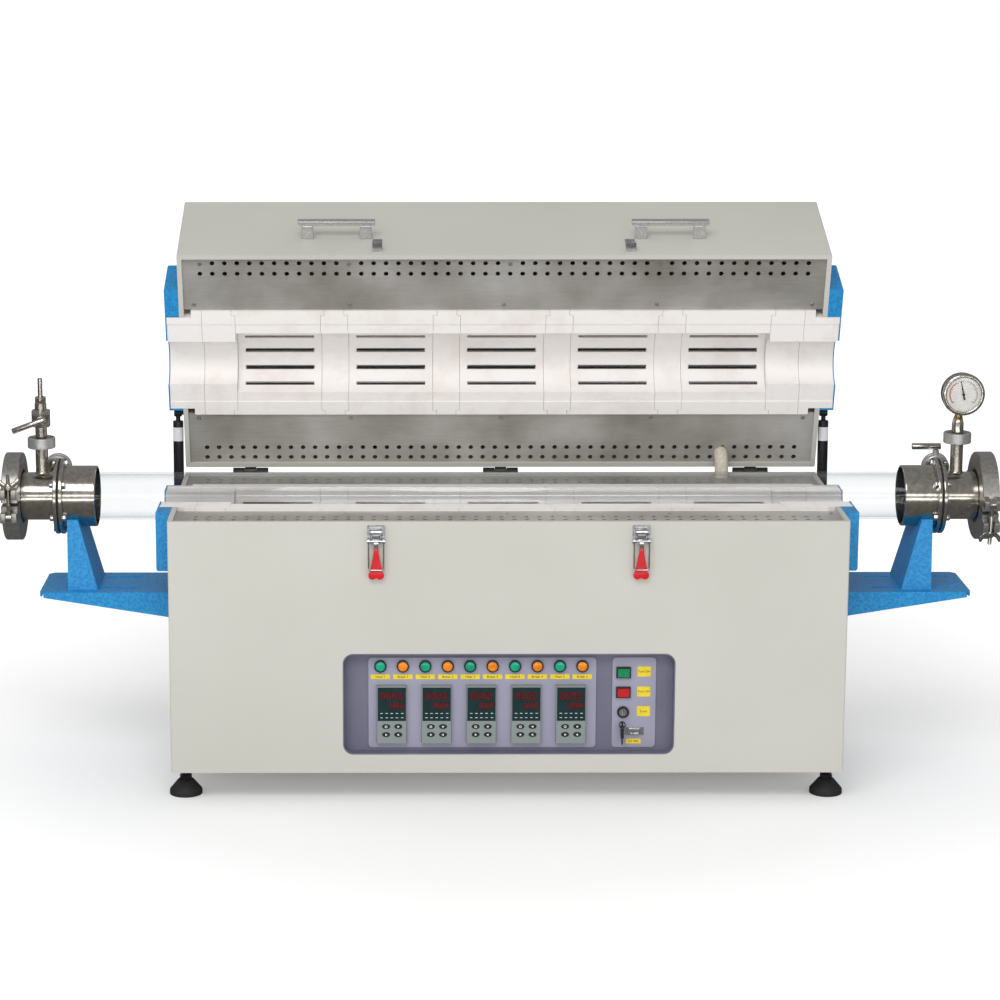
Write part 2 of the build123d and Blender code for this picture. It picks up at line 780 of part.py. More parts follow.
# Bezels: lamp sockets, button frames with their housings, the lock's barrel and
# the peg that the spare key hangs from.
lamp_bezel_height = 5.0
lens_seat = 3.0
button_frame_height = 4.0
button_opening_width = button_width - 2 * button_frame
button_opening_height = button_height - 2 * button_frame
lock_ring_height = 3.5
peg_diameter = 3.0
peg_length = 13.0
peg_x = button_x - 1.6
peg_z = lock_z - 17.0
with BuildPart() as panel_bezels:
    for x in green_xs + amber_xs:
        start = (x, plate_face + lamp_barrel_length, lamp_z)
        rod(
            start,
            (0, -1, 0),
            lamp_barrel_diameter / 2,
            lamp_barrel_length,
            sides=pin_sides,
        )
        rod(
            (x, plate_face, lamp_z),
            (0, -1, 0),
            lamp_diameter / 2,
            lamp_bezel_height,
            sides=fine_sides,
        )
        with BuildSketch(Plane.XZ.offset(-plate_face + lamp_bezel_height)):
            with Locations((x, lamp_z)):
                RegularPolygon(lamp_lens_diameter / 2, fine_sides)
        extrude(amount=-lens_seat, mode=Mode.SUBTRACT)
    for z in (green_button_z, red_button_z):
        with BuildSketch(Plane.XZ.offset(-plate_face)):
            with Locations((button_x, z)):
                Rectangle(button_width, button_height)
        extrude(amount=button_frame_height, taper=4)
        with BuildSketch(Plane.XZ.offset(-plate_face)):
            with Locations((button_x, z)):
                Rectangle(button_opening_width + 2, button_opening_height + 2)
        extrude(amount=-button_housing)
        with BuildSketch(Plane.XZ.offset(-plate_face + button_frame_height)):
            with Locations((button_x, z)):
                Rectangle(button_opening_width, button_opening_height)
        extrude(amount=-(button_housing + button_frame_height - sheet), mode=Mode.SUBTRACT)
    ring(
        (button_x, plate_face, lock_z),
        (0, -1, 0),
        lock_diameter / 2,
        lock_plug_diameter / 2 + running_fit,
        lock_ring_height,
    )
    ring(
        (button_x, plate_face, lock_z),
        (0, 1, 0),
        lock_barrel / 2,
        lock_plug_diameter / 2 + running_fit,
        button_housing + sheet,
    )
    rod(
        (peg_x, plate_face, peg_z),
        (0, -1, 0),
        peg_diameter / 2,
        peg_length,
    )
panel_bezels.part.label = "panel_bezels"
export_step(panel_bezels.part, "parts/panel_bezels.step")


def lens(x):
    """One domed lens seated in its lamp bezel."""
    with BuildSketch(Plane.XZ.offset(-plate_face + lamp_bezel_height - lens_seat)) as disc:
        with Locations((x, lamp_z)):
            RegularPolygon(lamp_lens_diameter / 2 - seat_gap, fine_sides)
    extrude(disc.sketch, amount=lens_seat + 2, taper=18)


with BuildPart() as green_lamps:
    for x in green_xs:
        lens(x)
green_lamps.part.label = "green_lamps"
export_step(green_lamps.part, "parts/green_lamps.step")
with BuildPart() as amber_lamps:
    for x in amber_xs:
        lens(x)
amber_lamps.part.label = "amber_lamps"
export_step(amber_lamps.part, "parts/amber_lamps.step")

# Push buttons slide in their housings against a spring.
button_proud = 2.5
button_depth = 13.0


def push_button(z):
    """A rectangular button cap in its rest position."""
    front = -plate_face + button_frame_height + button_proud
    with BuildSketch(Plane.XZ.offset(front)) as cap:
        with Locations((button_x, z)):
            Rectangle(
                button_opening_width - 2 * seat_gap, button_opening_height - 2 * seat_gap
            )
    extrude(cap.sketch, amount=-button_depth)


with BuildPart() as green_button:
    push_button(green_button_z)
green_button.part.label = "green_button"
export_step(green_button.part, "parts/green_button.step")
with BuildPart() as red_button:
    push_button(red_button_z)
red_button.part.label = "red_button"
export_step(red_button.part, "parts/red_button.step")

# Lock plug with its key slot.
plug_proud = 1.0
key_slot_width = 2.2
key_slot_length = 8.5
with BuildPart() as lock_plug:
    plug_front = plate_face - lock_ring_height - plug_proud
    rod(
        (button_x, plug_front, lock_z),
        (0, 1, 0),
        lock_plug_diameter / 2,
        button_housing + lock_ring_height,
    )
    with BuildSketch(Plane.XZ.offset(-plug_front)):
        with Locations((button_x, lock_z)):
            Rectangle(key_slot_width, key_slot_length)
    extrude(amount=-10, mode=Mode.SUBTRACT)
lock_plug.part.label = "lock_plug"
export_step(lock_plug.part, "parts/lock_plug.step")

# Spare key on a wire ring that hangs from the peg.
key_ring_radius = 5.0
key_ring_wire = 0.8
key_bow = 16.0
key_bow_thickness = 4.6
key_blade_width = 7.0
key_blade_thickness = 2.0
key_blade_length = 11.0
key_hole = 4.4
ring_y = plate_face - key_bow / 2 - 1.5
ring_z = peg_z - key_ring_radius + key_ring_wire + peg_diameter / 2 + seat_gap
key_hole_z = ring_z - key_ring_radius - 0.7
key_bow_height = 20.0
key_eye_edge = 4.0
with BuildPart() as hanging_key:
    ring(
        (peg_x, ring_y - key_ring_wire, ring_z),
        (0, 1, 0),
        key_ring_radius + key_ring_wire,
        key_ring_radius - key_ring_wire,
        2 * key_ring_wire,
        sides=fine_sides,
    )
    with BuildSketch(Plane.YZ.offset(peg_x - key_bow_thickness / 2)):
        with Locations((ring_y, key_hole_z + key_eye_edge - key_bow_height / 2)):
            RectangleRounded(key_bow, key_bow_height, 3)
        with Locations((ring_y, key_hole_z)):
            round_section(key_hole / 2, pin_sides, Mode.SUBTRACT)
    extrude(amount=key_bow_thickness)
    with BuildSketch(Plane.YZ.offset(peg_x - key_blade_thickness / 2)):
        with Locations((ring_y, key_hole_z + key_eye_edge - key_bow_height)):
            Rectangle(key_blade_width, 2 * key_blade_length)
    extrude(amount=key_blade_thickness)
hanging_key.part.label = "hanging_key"
export_step(hanging_key.part, "parts/hanging_key.step")

# Nine-way serial socket: flange, D-shaped shell and a body behind the plate.
with BuildPart() as serial_port:
    with BuildSketch(Plane.XZ.offset(-plate_face)):
        with Locations((serial_x, serial_z)):
            RectangleRounded(serial_width, serial_height, 1.5)
    extrude(amount=1)
    with BuildSketch(Plane.XZ.offset(-plate_face + 1)):
        with Locations((serial_x, serial_z)):
            Trapezoid(serial_width * 0.56, serial_height * 0.72, 80, rotation=180)
    extrude(amount=5)
    with BuildSketch(Plane.XZ.offset(-plate_face + 6)):
        with Locations((serial_x, serial_z)):
            Trapezoid(serial_width * 0.56 - 2, serial_height * 0.72 - 2, 80, rotation=180)
    extrude(amount=-4, mode=Mode.SUBTRACT)
    with BuildSketch(Plane.XZ.offset(-plate_face)):
        with Locations((serial_x, serial_z)):
            Rectangle(serial_width * 0.6 - 1, serial_height * 0.8 - 1)
    extrude(amount=-12)
serial_port.part.label = "serial_port"
export_step(serial_port.part, "parts/serial_port.step")

# ---------------------------------------------------------------- latches
# Draw latches: a base plate with two ears, a lever with a grip, and a wire bail
# that pivots on the lever and hooks behind the catch on the lid.
pivot_y = front_face - latch_pivot_reach
pivot_z = base_top - latch_pivot_drop
bail_y = pivot_y - 2.0
bail_z = pivot_z - latch_throw + 0.1
pivot_pin = 4.0
latch_sheet = 1.5
latch_plate_top = base_top - 5.5
latch_xs = (-latch_spacing / 2, latch_spacing / 2)
ear_radius = 6.0
ear_drop = 14.0
with BuildPart() as latch_bases:
    for x in latch_xs:
        with BuildSketch(Plane.XZ.offset(-front_face)):
            with Locations((x, latch_plate_top - latch_plate_height / 2)):
                RectangleRounded(latch_plate_width, latch_plate_height, 3)
        extrude(amount=latch_sheet)
        for side in (-1, 1):
            ear_x = x + side * (latch_ear_width / 2 - latch_sheet / 2)
            with BuildSketch(Plane.YZ.offset(ear_x - latch_sheet / 2)):
                with Locations((pivot_y, pivot_z)):
                    RegularPolygon(ear_radius, fine_sides)
                with BuildLine():
                    Polyline(
                        (front_face - latch_sheet, pivot_z + ear_radius),
                        (pivot_y, pivot_z + ear_radius),
                        (pivot_y - ear_radius, pivot_z),
                        (front_face - latch_sheet, pivot_z - ear_drop),
                        close=True,
                    )
                make_face()
            extrude(amount=latch_sheet)
        rod(
            (x - latch_ear_width / 2, pivot_y, pivot_z),
            (1, 0, 0),
            pivot_pin / 2,
            latch_ear_width,
        )
latch_bases.part.label = "latch_bases"
export_step(latch_bases.part, "parts/latch_bases.step")

lever_hub_width = latch_ear_width - 2 * latch_sheet - 2 * face_gap
lever_thickness = 5.0
lever_boss = 4.2
neck_width_top = 7.0
grip_bottom = bail_z - grip_length
grip_start = bail_z - 14.0
grip_waist = bail_z - 46.0


def latch_lever(x):
    """Lever with its grip, hanging straight down from the pivot."""
    front = bail_y + bail_wire / 2 + face_gap
    rod(
        (x - lever_hub_width / 2, pivot_y, pivot_z),
        (1, 0, 0),
        lever_boss,
        lever_hub_width,
        sides=fine_sides,
    )
    with BuildSketch(Plane.XZ.offset(-front)) as stem:
        with Locations((x, (pivot_z + grip_start) / 2)):
            Rectangle(neck_width_top, pivot_z - grip_start + 4)
    extrude(stem.sketch, amount=-lever_thickness)
    with BuildSketch(Plane.XZ.offset(-front)) as grip:
        with BuildLine():
            Polyline(
                (x - 3.5, grip_start + 3),
                (x + 3.5, grip_start + 3),
                (x + 4, grip_start - 6),
                (x + 9.6, grip_waist),
                (x + 9.6, grip_bottom + 7),
                (x - 9.6, grip_bottom + 7),
                (x - 9.6, grip_waist),
                (x - 4, grip_start - 6),
                close=True,
            )
        make_face()
        with Locations((x - 6, grip_bottom + 7), (x + 6, grip_bottom + 7)):
            RegularPolygon(6.8, fine_sides)
    extrude(grip.sketch, amount=-lever_thickness)
    rod(
        (x - neck_width_top / 2, bail_y, bail_z),
        (1, 0, 0),
        lever_boss,
        neck_width_top,
        sides=fine_sides,
    )
    rod(
        (x - bail_width / 2 - 3, bail_y, bail_z),
        (1, 0, 0),
        pivot_pin / 2,
        bail_width + 6,
    )
    rod(
        (x - lever_hub_width, pivot_y, pivot_z),
        (1, 0, 0),
        pivot_pin / 2 + running_fit,
        2 * lever_hub_width,
        Mode.SUBTRACT,
    )


def latch_bail(x):
    """Wire loop whose two eyes sit on the lever's cross pin."""
    leg = bail_width / 2
    low = bail_z - bail_length
    with BuildLine(Plane.XZ.offset(-bail_y)) as wire:
        Polyline(
            (x - leg, bail_z),
            (x - leg, low + bail_corner),
            (x - leg + bail_corner, low),
            (x + leg - bail_corner, low),
            (x + leg, low + bail_corner),
            (x + leg, bail_z),
        )
    with BuildSketch(Plane(origin=(x - leg, bail_y, bail_z), z_dir=(0, 0, -1))) as section:
        RegularPolygon(bail_wire / 2, pin_sides)
    sweep(section.sketch, path=wire.line, transition=Transition.RIGHT)
    for side in (-1, 1):
        rod(
            (x + side * leg - eye_half_width, bail_y, bail_z),
            (1, 0, 0),
            pivot_pin / 2 + bail_wire / 2,
            2 * eye_half_width,
            sides=fine_sides,
        )
    rod(
        (x - bail_width, bail_y, bail_z),
        (1, 0, 0),
        pivot_pin / 2 + running_fit,
        2 * bail_width,
        Mode.SUBTRACT,
    )


with BuildPart() as latch_lever_left:
    latch_lever(latch_xs[0])
latch_lever_left.part.label = "latch_lever_left"
export_step(latch_lever_left.part, "parts/latch_lever_left.step")
with BuildPart() as latch_lever_right:
    latch_lever(latch_xs[1])
latch_lever_right.part.label = "latch_lever_right"
export_step(latch_lever_right.part, "parts/latch_lever_right.step")
with BuildPart() as latch_bail_left:
    latch_bail(latch_xs[0])
latch_bail_left.part.label = "latch_bail_left"
export_step(latch_bail_left.part, "parts/latch_bail_left.step")
with BuildPart() as latch_bail_right:
    latch_bail(latch_xs[1])
latch_bail_right.part.label = "latch_bail_right"
export_step(latch_bail_right.part, "parts/latch_bail_right.step")

# Catches on the lid: a plate folded out into a hook that the bail sits in.
bail_high = bail_z + bail_length
hook_top = bail_high - bail_wire / 2 - face_gap
hook_reach = front_face - bail_y + bail_wire / 2 + face_gap
with BuildPart() as lid_catches:
    for x in latch_xs:
        with BuildSketch(Plane.YZ.offset(x - catch_width / 2)):
            with BuildLine():
                Polyline(
                    (front_face, hook_top - latch_sheet),
                    (front_face, hook_top + catch_height - latch_sheet),
                    (front_face - latch_sheet, hook_top + catch_height - latch_sheet),
                    (front_face - latch_sheet, hook_top),
                    (front_face - hook_reach, hook_top),
                    (front_face - hook_reach, hook_top + 6),
                    (front_face - hook_reach - latch_sheet, hook_top + 6),
                    (front_face - hook_reach - latch_sheet, hook_top - latch_sheet),
                    close=True,
                )
            make_face()
        extrude(amount=catch_width)
lid_catches.part = opened(lid_catches.part)
lid_catches.part.label = "lid_catches"
export_step(lid_catches.part, "parts/lid_catches.step")

# ---------------------------------------------------------------- lid fittings
handle_z = lid_underside + handle_setback
with BuildPart() as lid_handles:
    for x in (-handle_spacing / 2, handle_spacing / 2):
        with BuildSketch(Plane.XZ.offset(-front_face)):
            with Locations(
                (x - handle_length / 2 + handle_post * 0.8, handle_z),
                (x + handle_length / 2 - handle_post * 0.8, handle_z),
            ):
                Rectangle(handle_post, handle_depth)
        extrude(amount=handle_standoff)
        with BuildSketch(Plane.XZ.offset(-front_face + handle_standoff)):
            with Locations((x, handle_z)):
                Rectangle(handle_length, handle_depth)
        extrude(amount=handle_thickness)
lid_handles.part = opened(lid_handles.part)
lid_handles.part.label = "lid_handles"
export_step(lid_handles.part, "parts/lid_handles.step")

# Butt hinges along the rear: the base leaves carry the outer knuckles and pin,
# the lid leaves the middle knuckle.
hinge_xs = (-hinge_pitch, 0, hinge_pitch)
knuckle_width = (hinge_width - 4 * face_gap) / 3
leaf_gap = 6.0


def hinge_leaf_body(x, width, upward):
    """Leaf plate with its upright web reaching the pin's height."""
    side = 1 if upward else -1
    near = parting + side * leaf_gap
    with BuildSketch(Plane.XZ.offset(-rear_face)) as plate:
        with Locations((x, near + side * hinge_leaf_height / 2)):
            Rectangle(hinge_width, hinge_leaf_height)
    extrude(plate.sketch, amount=-hinge_leaf)
    with BuildSketch(Plane.XZ.offset(-rear_face)) as web:
        with Locations((x, parting + side * leaf_gap / 2 + side)):
            Rectangle(width, leaf_gap + 2)
    extrude(web.sketch, amount=-hinge_leaf)


with BuildPart() as hinge_base_leaves:
    for x in hinge_xs:
        for side in (-1, 1):
            outer_x = x + side * (hinge_width - knuckle_width) / 2
            hinge_leaf_body(outer_x, knuckle_width, False)
            rod(
                (outer_x - knuckle_width / 2, hinge_y, parting),
                (1, 0, 0),
                hinge_knuckle_radius,
                knuckle_width,
                sides=fine_sides,
            )
        rod(
            (x - hinge_width / 2, hinge_y, parting),
            (1, 0, 0),
            hinge_pin_diameter / 2,
            hinge_width,
        )
hinge_base_leaves.part.label = "hinge_base_leaves"
export_step(hinge_base_leaves.part, "parts/hinge_base_leaves.step")
with BuildPart() as hinge_lid_leaves:
    for x in hinge_xs:
        hinge_leaf_body(x, knuckle_width, True)
        rod(
            (x - knuckle_width / 2, hinge_y, parting),
            (1, 0, 0),
            hinge_knuckle_radius,
            knuckle_width,
            sides=fine_sides,
        )
        rod(
            (x - hinge_width / 2, hinge_y, parting),
            (1, 0, 0),
            hinge_pin_diameter / 2 + running_fit,
            hinge_width,
            Mode.SUBTRACT,
        )
hinge_lid_leaves.part = opened(hinge_lid_leaves.part)
hinge_lid_leaves.part.label = "hinge_lid_leaves"
export_step(hinge_lid_leaves.part, "parts/hinge_lid_leaves.step")

# ---------------------------------------------------------------- gas struts
strut_x = side_face + strut_offset
strut_eye_width = 10.0
strut_low = (hinge_y - strut_base_back, parting - strut_base_drop)
strut_high_shut = (hinge_y - strut_lid_back, parting + strut_lid_rise)
strut_high = opened_point(*strut_high_shut)
strut_length = hypot(strut_high[0] - strut_low[0], strut_high[1] - strut_low[1])
strut_shut_length = hypot(
    strut_high_shut[0] - strut_low[0], strut_high_shut[1] - strut_low[1]
)
strut_along = (
    0,
    (strut_high[0] - strut_low[0]) / strut_length,
    (strut_high[1] - strut_low[1]) / strut_length,
)
cylinder_length = 132.0
cylinder_back = 14.0
cylinder_end = 15.0
rod_end_gap = 2.0
strut_stud = 6.0
stud_flange = 9.0
strut_socket = 13.0
lid_stud_length = 5.2
eye_start = strut_x - strut_eye_width / 2


def along_strut(x, distance):
    """Point on the strut's line, measured up from the base pivot."""
    return (
        x,
        strut_low[0] + strut_along[1] * distance,
        strut_low[1] + strut_along[2] * distance,
    )


with BuildPart() as strut_base_studs:
    rod(
        (side_face, *strut_low),
        (1, 0, 0),
        stud_flange / 2,
        strut_offset - strut_eye_width / 2 - face_gap,
        sides=fine_sides,
    )
    rod(
        (side_face, *strut_low),
        (1, 0, 0),
        strut_stud / 2,
        strut_offset + strut_eye_width / 2 + 2,
    )
    mirror(about=Plane.YZ)
strut_base_studs.part.label = "strut_base_studs"
export_step(strut_base_studs.part, "parts/strut_base_studs.step")

with BuildPart() as strut_rods:
    rod(
        along_strut(strut_x, 0),
        strut_along,
        strut_rod_diameter / 2,
        strut_shut_length - cylinder_back - cylinder_end - rod_end_gap,
        sides=pin_sides,
    )
    rod(
        (eye_start, *strut_low),
        (1, 0, 0),
        strut_eye_diameter / 2,
        strut_eye_width,
        sides=fine_sides,
    )
    rod(
        (eye_start, *strut_low),
        (1, 0, 0),
        strut_stud / 2 + running_fit,
        strut_eye_width,
        Mode.SUBTRACT,
    )
    mirror(about=Plane.YZ)
strut_rods.part.label = "strut_rods"
export_step(strut_rods.part, "parts/strut_rods.step")

with BuildPart() as strut_cylinders:
    rod(
        along_strut(strut_x, strut_length - cylinder_back - cylinder_length),
        strut_along,
        strut_diameter / 2,
        cylinder_length,
        sides=fine_sides,
    )
    rod(
        along_strut(strut_x, strut_length - cylinder_back),
        strut_along,
        strut_rod_diameter / 2,
        cylinder_back,
        sides=pin_sides,
    )
    rod(
        (side_face + lid_stud_length + face_gap, *strut_high),
        (1, 0, 0),
        strut_socket / 2,
        strut_socket,
        sides=fine_sides,
    )
    rod(
        along_strut(strut_x, strut_length - cylinder_back - cylinder_length),
        strut_along,
        strut_rod_diameter / 2 + running_fit,
        cylinder_length - cylinder_end,
        Mode.SUBTRACT,
        pin_sides,
    )
    mirror(about=Plane.YZ)
strut_cylinders.part.label = "strut_cylinders"
export_step(strut_cylinders.part, "parts/strut_cylinders.step")

with BuildPart() as strut_lid_studs:
    rod((side_face, *strut_high_shut), (1, 0, 0), 8, 2, sides=fine_sides)
    rod((side_face, *strut_high_shut), (1, 0, 0), 4, lid_stud_length, sides=pin_sides)
    mirror(about=Plane.YZ)
strut_lid_studs.part = opened(strut_lid_studs.part)
strut_lid_studs.part.label = "strut_lid_studs"
export_step(strut_lid_studs.part, "parts/strut_lid_studs.step")

# Sleeving round the heater leads, from the rear deck up into the lid.
sleeving_top = opened_point(sleeving_lid_y, lid_sheet_bottom)
with BuildPart() as wiring_sleeve:
    with BuildLine(Plane.YZ.offset(sleeving_x)) as route:
        Polyline(
            (sleeving_y, deck_top - 8),
            (sleeving_y, deck_top + 20),
            (sleeving_y + 6, deck_top + 31),
            (sleeving_top[0] + 8, sleeving_top[1] + 4),
        )
    with BuildSketch(Plane.XY.offset(deck_top - 8)):
        with Locations((sleeving_x, sleeving_y)):
            RegularPolygon(sleeving_diameter / 2, fine_sides)
    sweep(transition=Transition.RIGHT)
wiring_sleeve.part.label = "wiring_sleeve"
export_step(wiring_sleeve.part, "parts/wiring_sleeve.step")

# ---------------------------------------------------------------- feet
with BuildPart() as levelling_feet:
    with BuildSketch(Plane.XY):
        with GridLocations(foot_spacing_x, foot_spacing_y, 2, 2):
            RegularPolygon(foot_diameter / 2, fine_sides * 2)
    extrude(amount=foot_pad)
    with BuildSketch(Plane.XY.offset(foot_pad)):
        with GridLocations(foot_spacing_x, foot_spacing_y, 2, 2):
            RegularPolygon(foot_diameter / 2, fine_sides * 2)
    extrude(amount=foot_height - foot_pad, taper=40)
    with BuildSketch(Plane.XY.offset(foot_height)):
        with GridLocations(foot_spacing_x, foot_spacing_y, 2, 2):
            RegularPolygon(foot_stud_diameter * 0.9, 6)
    extrude(amount=8)
    with BuildSketch(Plane.XY.offset(foot_height)):
        with GridLocations(foot_spacing_x, foot_spacing_y, 2, 2):
            RegularPolygon(foot_stud_diameter / 2, pin_sides)
    extrude(amount=ground_clearance + 14 - foot_height)
    with BuildSketch(Plane.XY.offset(ground_clearance + sheet)):
        with GridLocations(foot_spacing_x, foot_spacing_y, 2, 2):
            RegularPolygon(foot_stud_diameter * 0.9, 6)
    extrude(amount=8)
    with BuildSketch(Plane.XY.offset(ground_clearance - 8)):
        with GridLocations(foot_spacing_x, foot_spacing_y, 2, 2):
            RegularPolygon(foot_stud_diameter * 0.9, 6)
    extrude(amount=8)
levelling_feet.part.label = "levelling_feet"
export_step(levelling_feet.part, "parts/levelling_feet.step")

# ---------------------------------------------------------------- shelves and supports
shelf_sheet = 3.0
shelf_tip_corner = 9.0
shelf_slot_centre = side_face + shelf_reach * 0.6
with BuildPart() as end_shelves:
    with BuildSketch(Plane.XY.offset(shelf_top)) as shelf_plan:
        with Locations((side_face, 0)):
            plan = Rectangle(shelf_reach, shelf_depth, align=(Align.MIN, Align.CENTER))
        chamfer(plan.vertices().group_by(Axis.X)[-1], shelf_tip_corner)
    extrude(amount=-shelf_sheet)
    with BuildSketch(Plane.XY.offset(shelf_top - shelf_sheet)):
        with Locations((side_face, 0)):
            lip = Rectangle(shelf_reach, shelf_depth, align=(Align.MIN, Align.CENTER))
        chamfer(lip.vertices().group_by(Axis.X)[-1], shelf_tip_corner)
        with Locations((side_face, 0)):
            inner = Rectangle(
                shelf_reach - shelf_sheet,
                shelf_depth - 2 * shelf_sheet,
                align=(Align.MIN, Align.CENTER),
                mode=Mode.SUBTRACT,
            )
    extrude(amount=-(shelf_lip_root - shelf_sheet))
    with BuildSketch(Plane.YZ.offset(side_face)):
        with Locations((0, shelf_top)):
            Rectangle(shelf_depth, shelf_lip_root, align=(Align.CENTER, Align.MAX))
    extrude(amount=shelf_sheet)
    with BuildSketch(Plane.XZ.offset(shelf_depth)):
        with BuildLine():
            Polyline(
                (side_face, shelf_top - shelf_lip_root),
                (side_face + shelf_reach + 1, shelf_top - shelf_lip_tip),
                (side_face + shelf_reach + 1, shelf_top - 2 * shelf_lip_root),
                (side_face, shelf_top - 2 * shelf_lip_root),
                close=True,
            )
        make_face()
    extrude(amount=-2 * shelf_depth, mode=Mode.SUBTRACT)
    with BuildSketch(Plane.XY.offset(shelf_top)):
        with Locations(
            (shelf_slot_centre, -shelf_slot_spacing / 2),
            (shelf_slot_centre, shelf_slot_spacing / 2),
        ):
            Rectangle(shelf_slot_length, shelf_slot_width)
    extrude(amount=-shelf_sheet, mode=Mode.SUBTRACT)
    mirror(about=Plane.YZ)
end_shelves.part.label = "end_shelves"
export_step(end_shelves.part, "parts/end_shelves.step")

sleeve_end = sleeve_start + sleeve_length
support_outer = sleeve_end - 7.0
support_top = parting - support_drop
saddle_radius = sleeve_diameter / 2 + face_gap
tube_centre = Plane.YZ.offset(tube_offset)


def both_ends(piece):
    """The right-hand piece with its mirror image at the tube's left end."""
    return Part() + [piece, mirror(piece, about=tube_centre)]


with BuildPart() as tube_supports:
    with BuildSketch(Plane.YZ.offset(tube_offset + support_outer)):
        with BuildLine():
            Polyline(
                (-support_width / 2, shelf_top),
                (support_width / 2, shelf_top),
                (support_top_width / 2, support_top),
                (-support_top_width / 2, support_top),
                close=True,
            )
        make_face()
    extrude(amount=-support_root_length)
    with BuildSketch(Plane.XZ.offset(support_width)):
        with BuildLine():
            Polyline(
                (tube_offset + support_outer - support_root_length, shelf_top),
                (tube_offset + support_outer - support_top_length, support_top),
                (tube_offset + support_outer - support_root_length, support_top),
                close=True,
            )
        make_face()
    extrude(amount=-2 * support_width, mode=Mode.SUBTRACT)
    with BuildSketch(Plane.YZ.offset(tube_offset + support_outer)):
        with Locations((0, parting)):
            Circle(saddle_radius)
    extrude(amount=-support_root_length, mode=Mode.SUBTRACT)
tube_supports.part = both_ends(tube_supports.part)
tube_supports.part.label = "tube_supports"
export_step(tube_supports.part, "parts/tube_supports.step")

# ---------------------------------------------------------------- work tube
axis_z = parting
with BuildPart() as quartz_tube:
    ring(
        (tube_offset - tube_length / 2, 0, axis_z),
        (1, 0, 0),
        tube_diameter / 2,
        tube_diameter / 2 - tube_wall,
        tube_length,
    )
quartz_tube.part.label = "quartz_tube"
export_step(quartz_tube.part, "parts/quartz_tube.step")


def station(distance):
    """Point on the tube's axis at a distance from its centre."""
    return (tube_offset + distance, 0, axis_z)


def bolt_holes(distance, length):
    """Clearance holes for the flange bolts."""
    with BuildSketch(Plane.YZ.offset(tube_offset + distance)) as holes:
        with Locations((0, axis_z)):
            with PolarLocations(bolt_circle / 2, bolt_count, start_angle=90):
                RegularPolygon(bolt_diameter / 2 + face_gap, 6, major_radius=False)
    extrude(holes.sketch, amount=length, mode=Mode.SUBTRACT)


# Inner flange: a wide sleeve round the tube with a bolted plate.
inner_plate = sleeve_end
seal_start = inner_plate + flange_thickness
outer_plate = seal_start + seal_thickness
body_start = outer_plate + flange_thickness
rim_start = body_start + body_length - 1.0
cap_start = rim_start + rim_thickness + end_seal_gap
tube_hole = tube_diameter / 2 + face_gap
with BuildPart() as flange_sleeves:
    ring(
        station(sleeve_start),
        (1, 0, 0),
        sleeve_diameter / 2,
        sleeve_diameter / 2 - sleeve_wall,
        sleeve_length,
        sides=flange_sides,
    )
    ring(
        station(inner_plate),
        (1, 0, 0),
        flange_diameter / 2,
        tube_hole,
        flange_thickness,
        sides=flange_sides,
    )
    bolt_holes(inner_plate, flange_thickness)
flange_sleeves.part = both_ends(flange_sleeves.part)
flange_sleeves.part.label = "flange_sleeves"
export_step(flange_sleeves.part, "parts/flange_sleeves.step")

with BuildPart() as flange_seals:
    ring(
        station(seal_start),
        (1, 0, 0),
        seal_diameter / 2,
        tube_hole,
        seal_thickness,
        sides=flange_sides,
    )
    bolt_holes(seal_start, seal_thickness)
flange_seals.part = both_ends(flange_seals.part)
flange_seals.part.label = "flange_seals"
export_step(flange_seals.part, "parts/flange_seals.step")

# Outer flange: plate, short body with two welded ports, and a clamping rim.
body_inner = body_diameter / 2 - body_wall
tube_end_gap = 1.0
tube_seat = tube_length / 2 + tube_end_gap - outer_plate
right_port_height = 99.0
left_port_height = 91.5
rear_direction = (0, cos(radians(rear_port_angle)), sin(radians(rear_port_angle)))


def flange_body(port_rise):
    """Outer flange at the right-hand end, with its top port at a given height."""
    for start, diameter, length in (
        (outer_plate, flange_diameter, flange_thickness),
        (body_start, body_diameter, body_length),
        (rim_start, rim_diameter, rim_thickness),
    ):
        ring(station(start), (1, 0, 0), diameter / 2, body_inner, length, sides=flange_sides)
    port_flange_z = port_rise - face_gap - port_flange_thickness
    port_origin = station(port_position)
    rod(port_origin, (0, 0, 1), port_diameter / 2, port_rise - face_gap, sides=fine_sides)
    rod(
        (port_origin[0], 0, axis_z + port_flange_z),
        (0, 0, 1),
        port_flange_diameter / 2,
        port_flange_thickness,
        sides=fine_sides,
    )
    rear_origin = station(rear_port_position)
    rod(rear_origin, rear_direction, port_diameter / 2, rear_port_reach, sides=fine_sides)
    rod(
        port_origin,
        (0, 0, 1),
        port_diameter / 2 - port_wall,
        port_rise,
        Mode.SUBTRACT,
        pin_sides,
    )
    rod(
        rear_origin,
        rear_direction,
        port_diameter / 2 - port_wall,
        rear_port_reach - port_wall,
        Mode.SUBTRACT,
        pin_sides,
    )
    for radius, length in ((body_inner, cap_start - outer_plate), (tube_hole, tube_seat)):
        rod(
            station(outer_plate),
            (1, 0, 0),
            radius,
            length,
            Mode.SUBTRACT,
            flange_sides,
        )
    bolt_holes(outer_plate, flange_thickness)


with BuildPart() as right_flange_body:
    flange_body(right_port_height)
with BuildPart() as left_flange_body:
    flange_body(left_port_height)
flange_bodies = Part() + [
    right_flange_body.part,
    mirror(left_flange_body.part, about=tube_centre),
]
flange_bodies.label = "flange_bodies"
export_step(flange_bodies, "parts/flange_bodies.step")

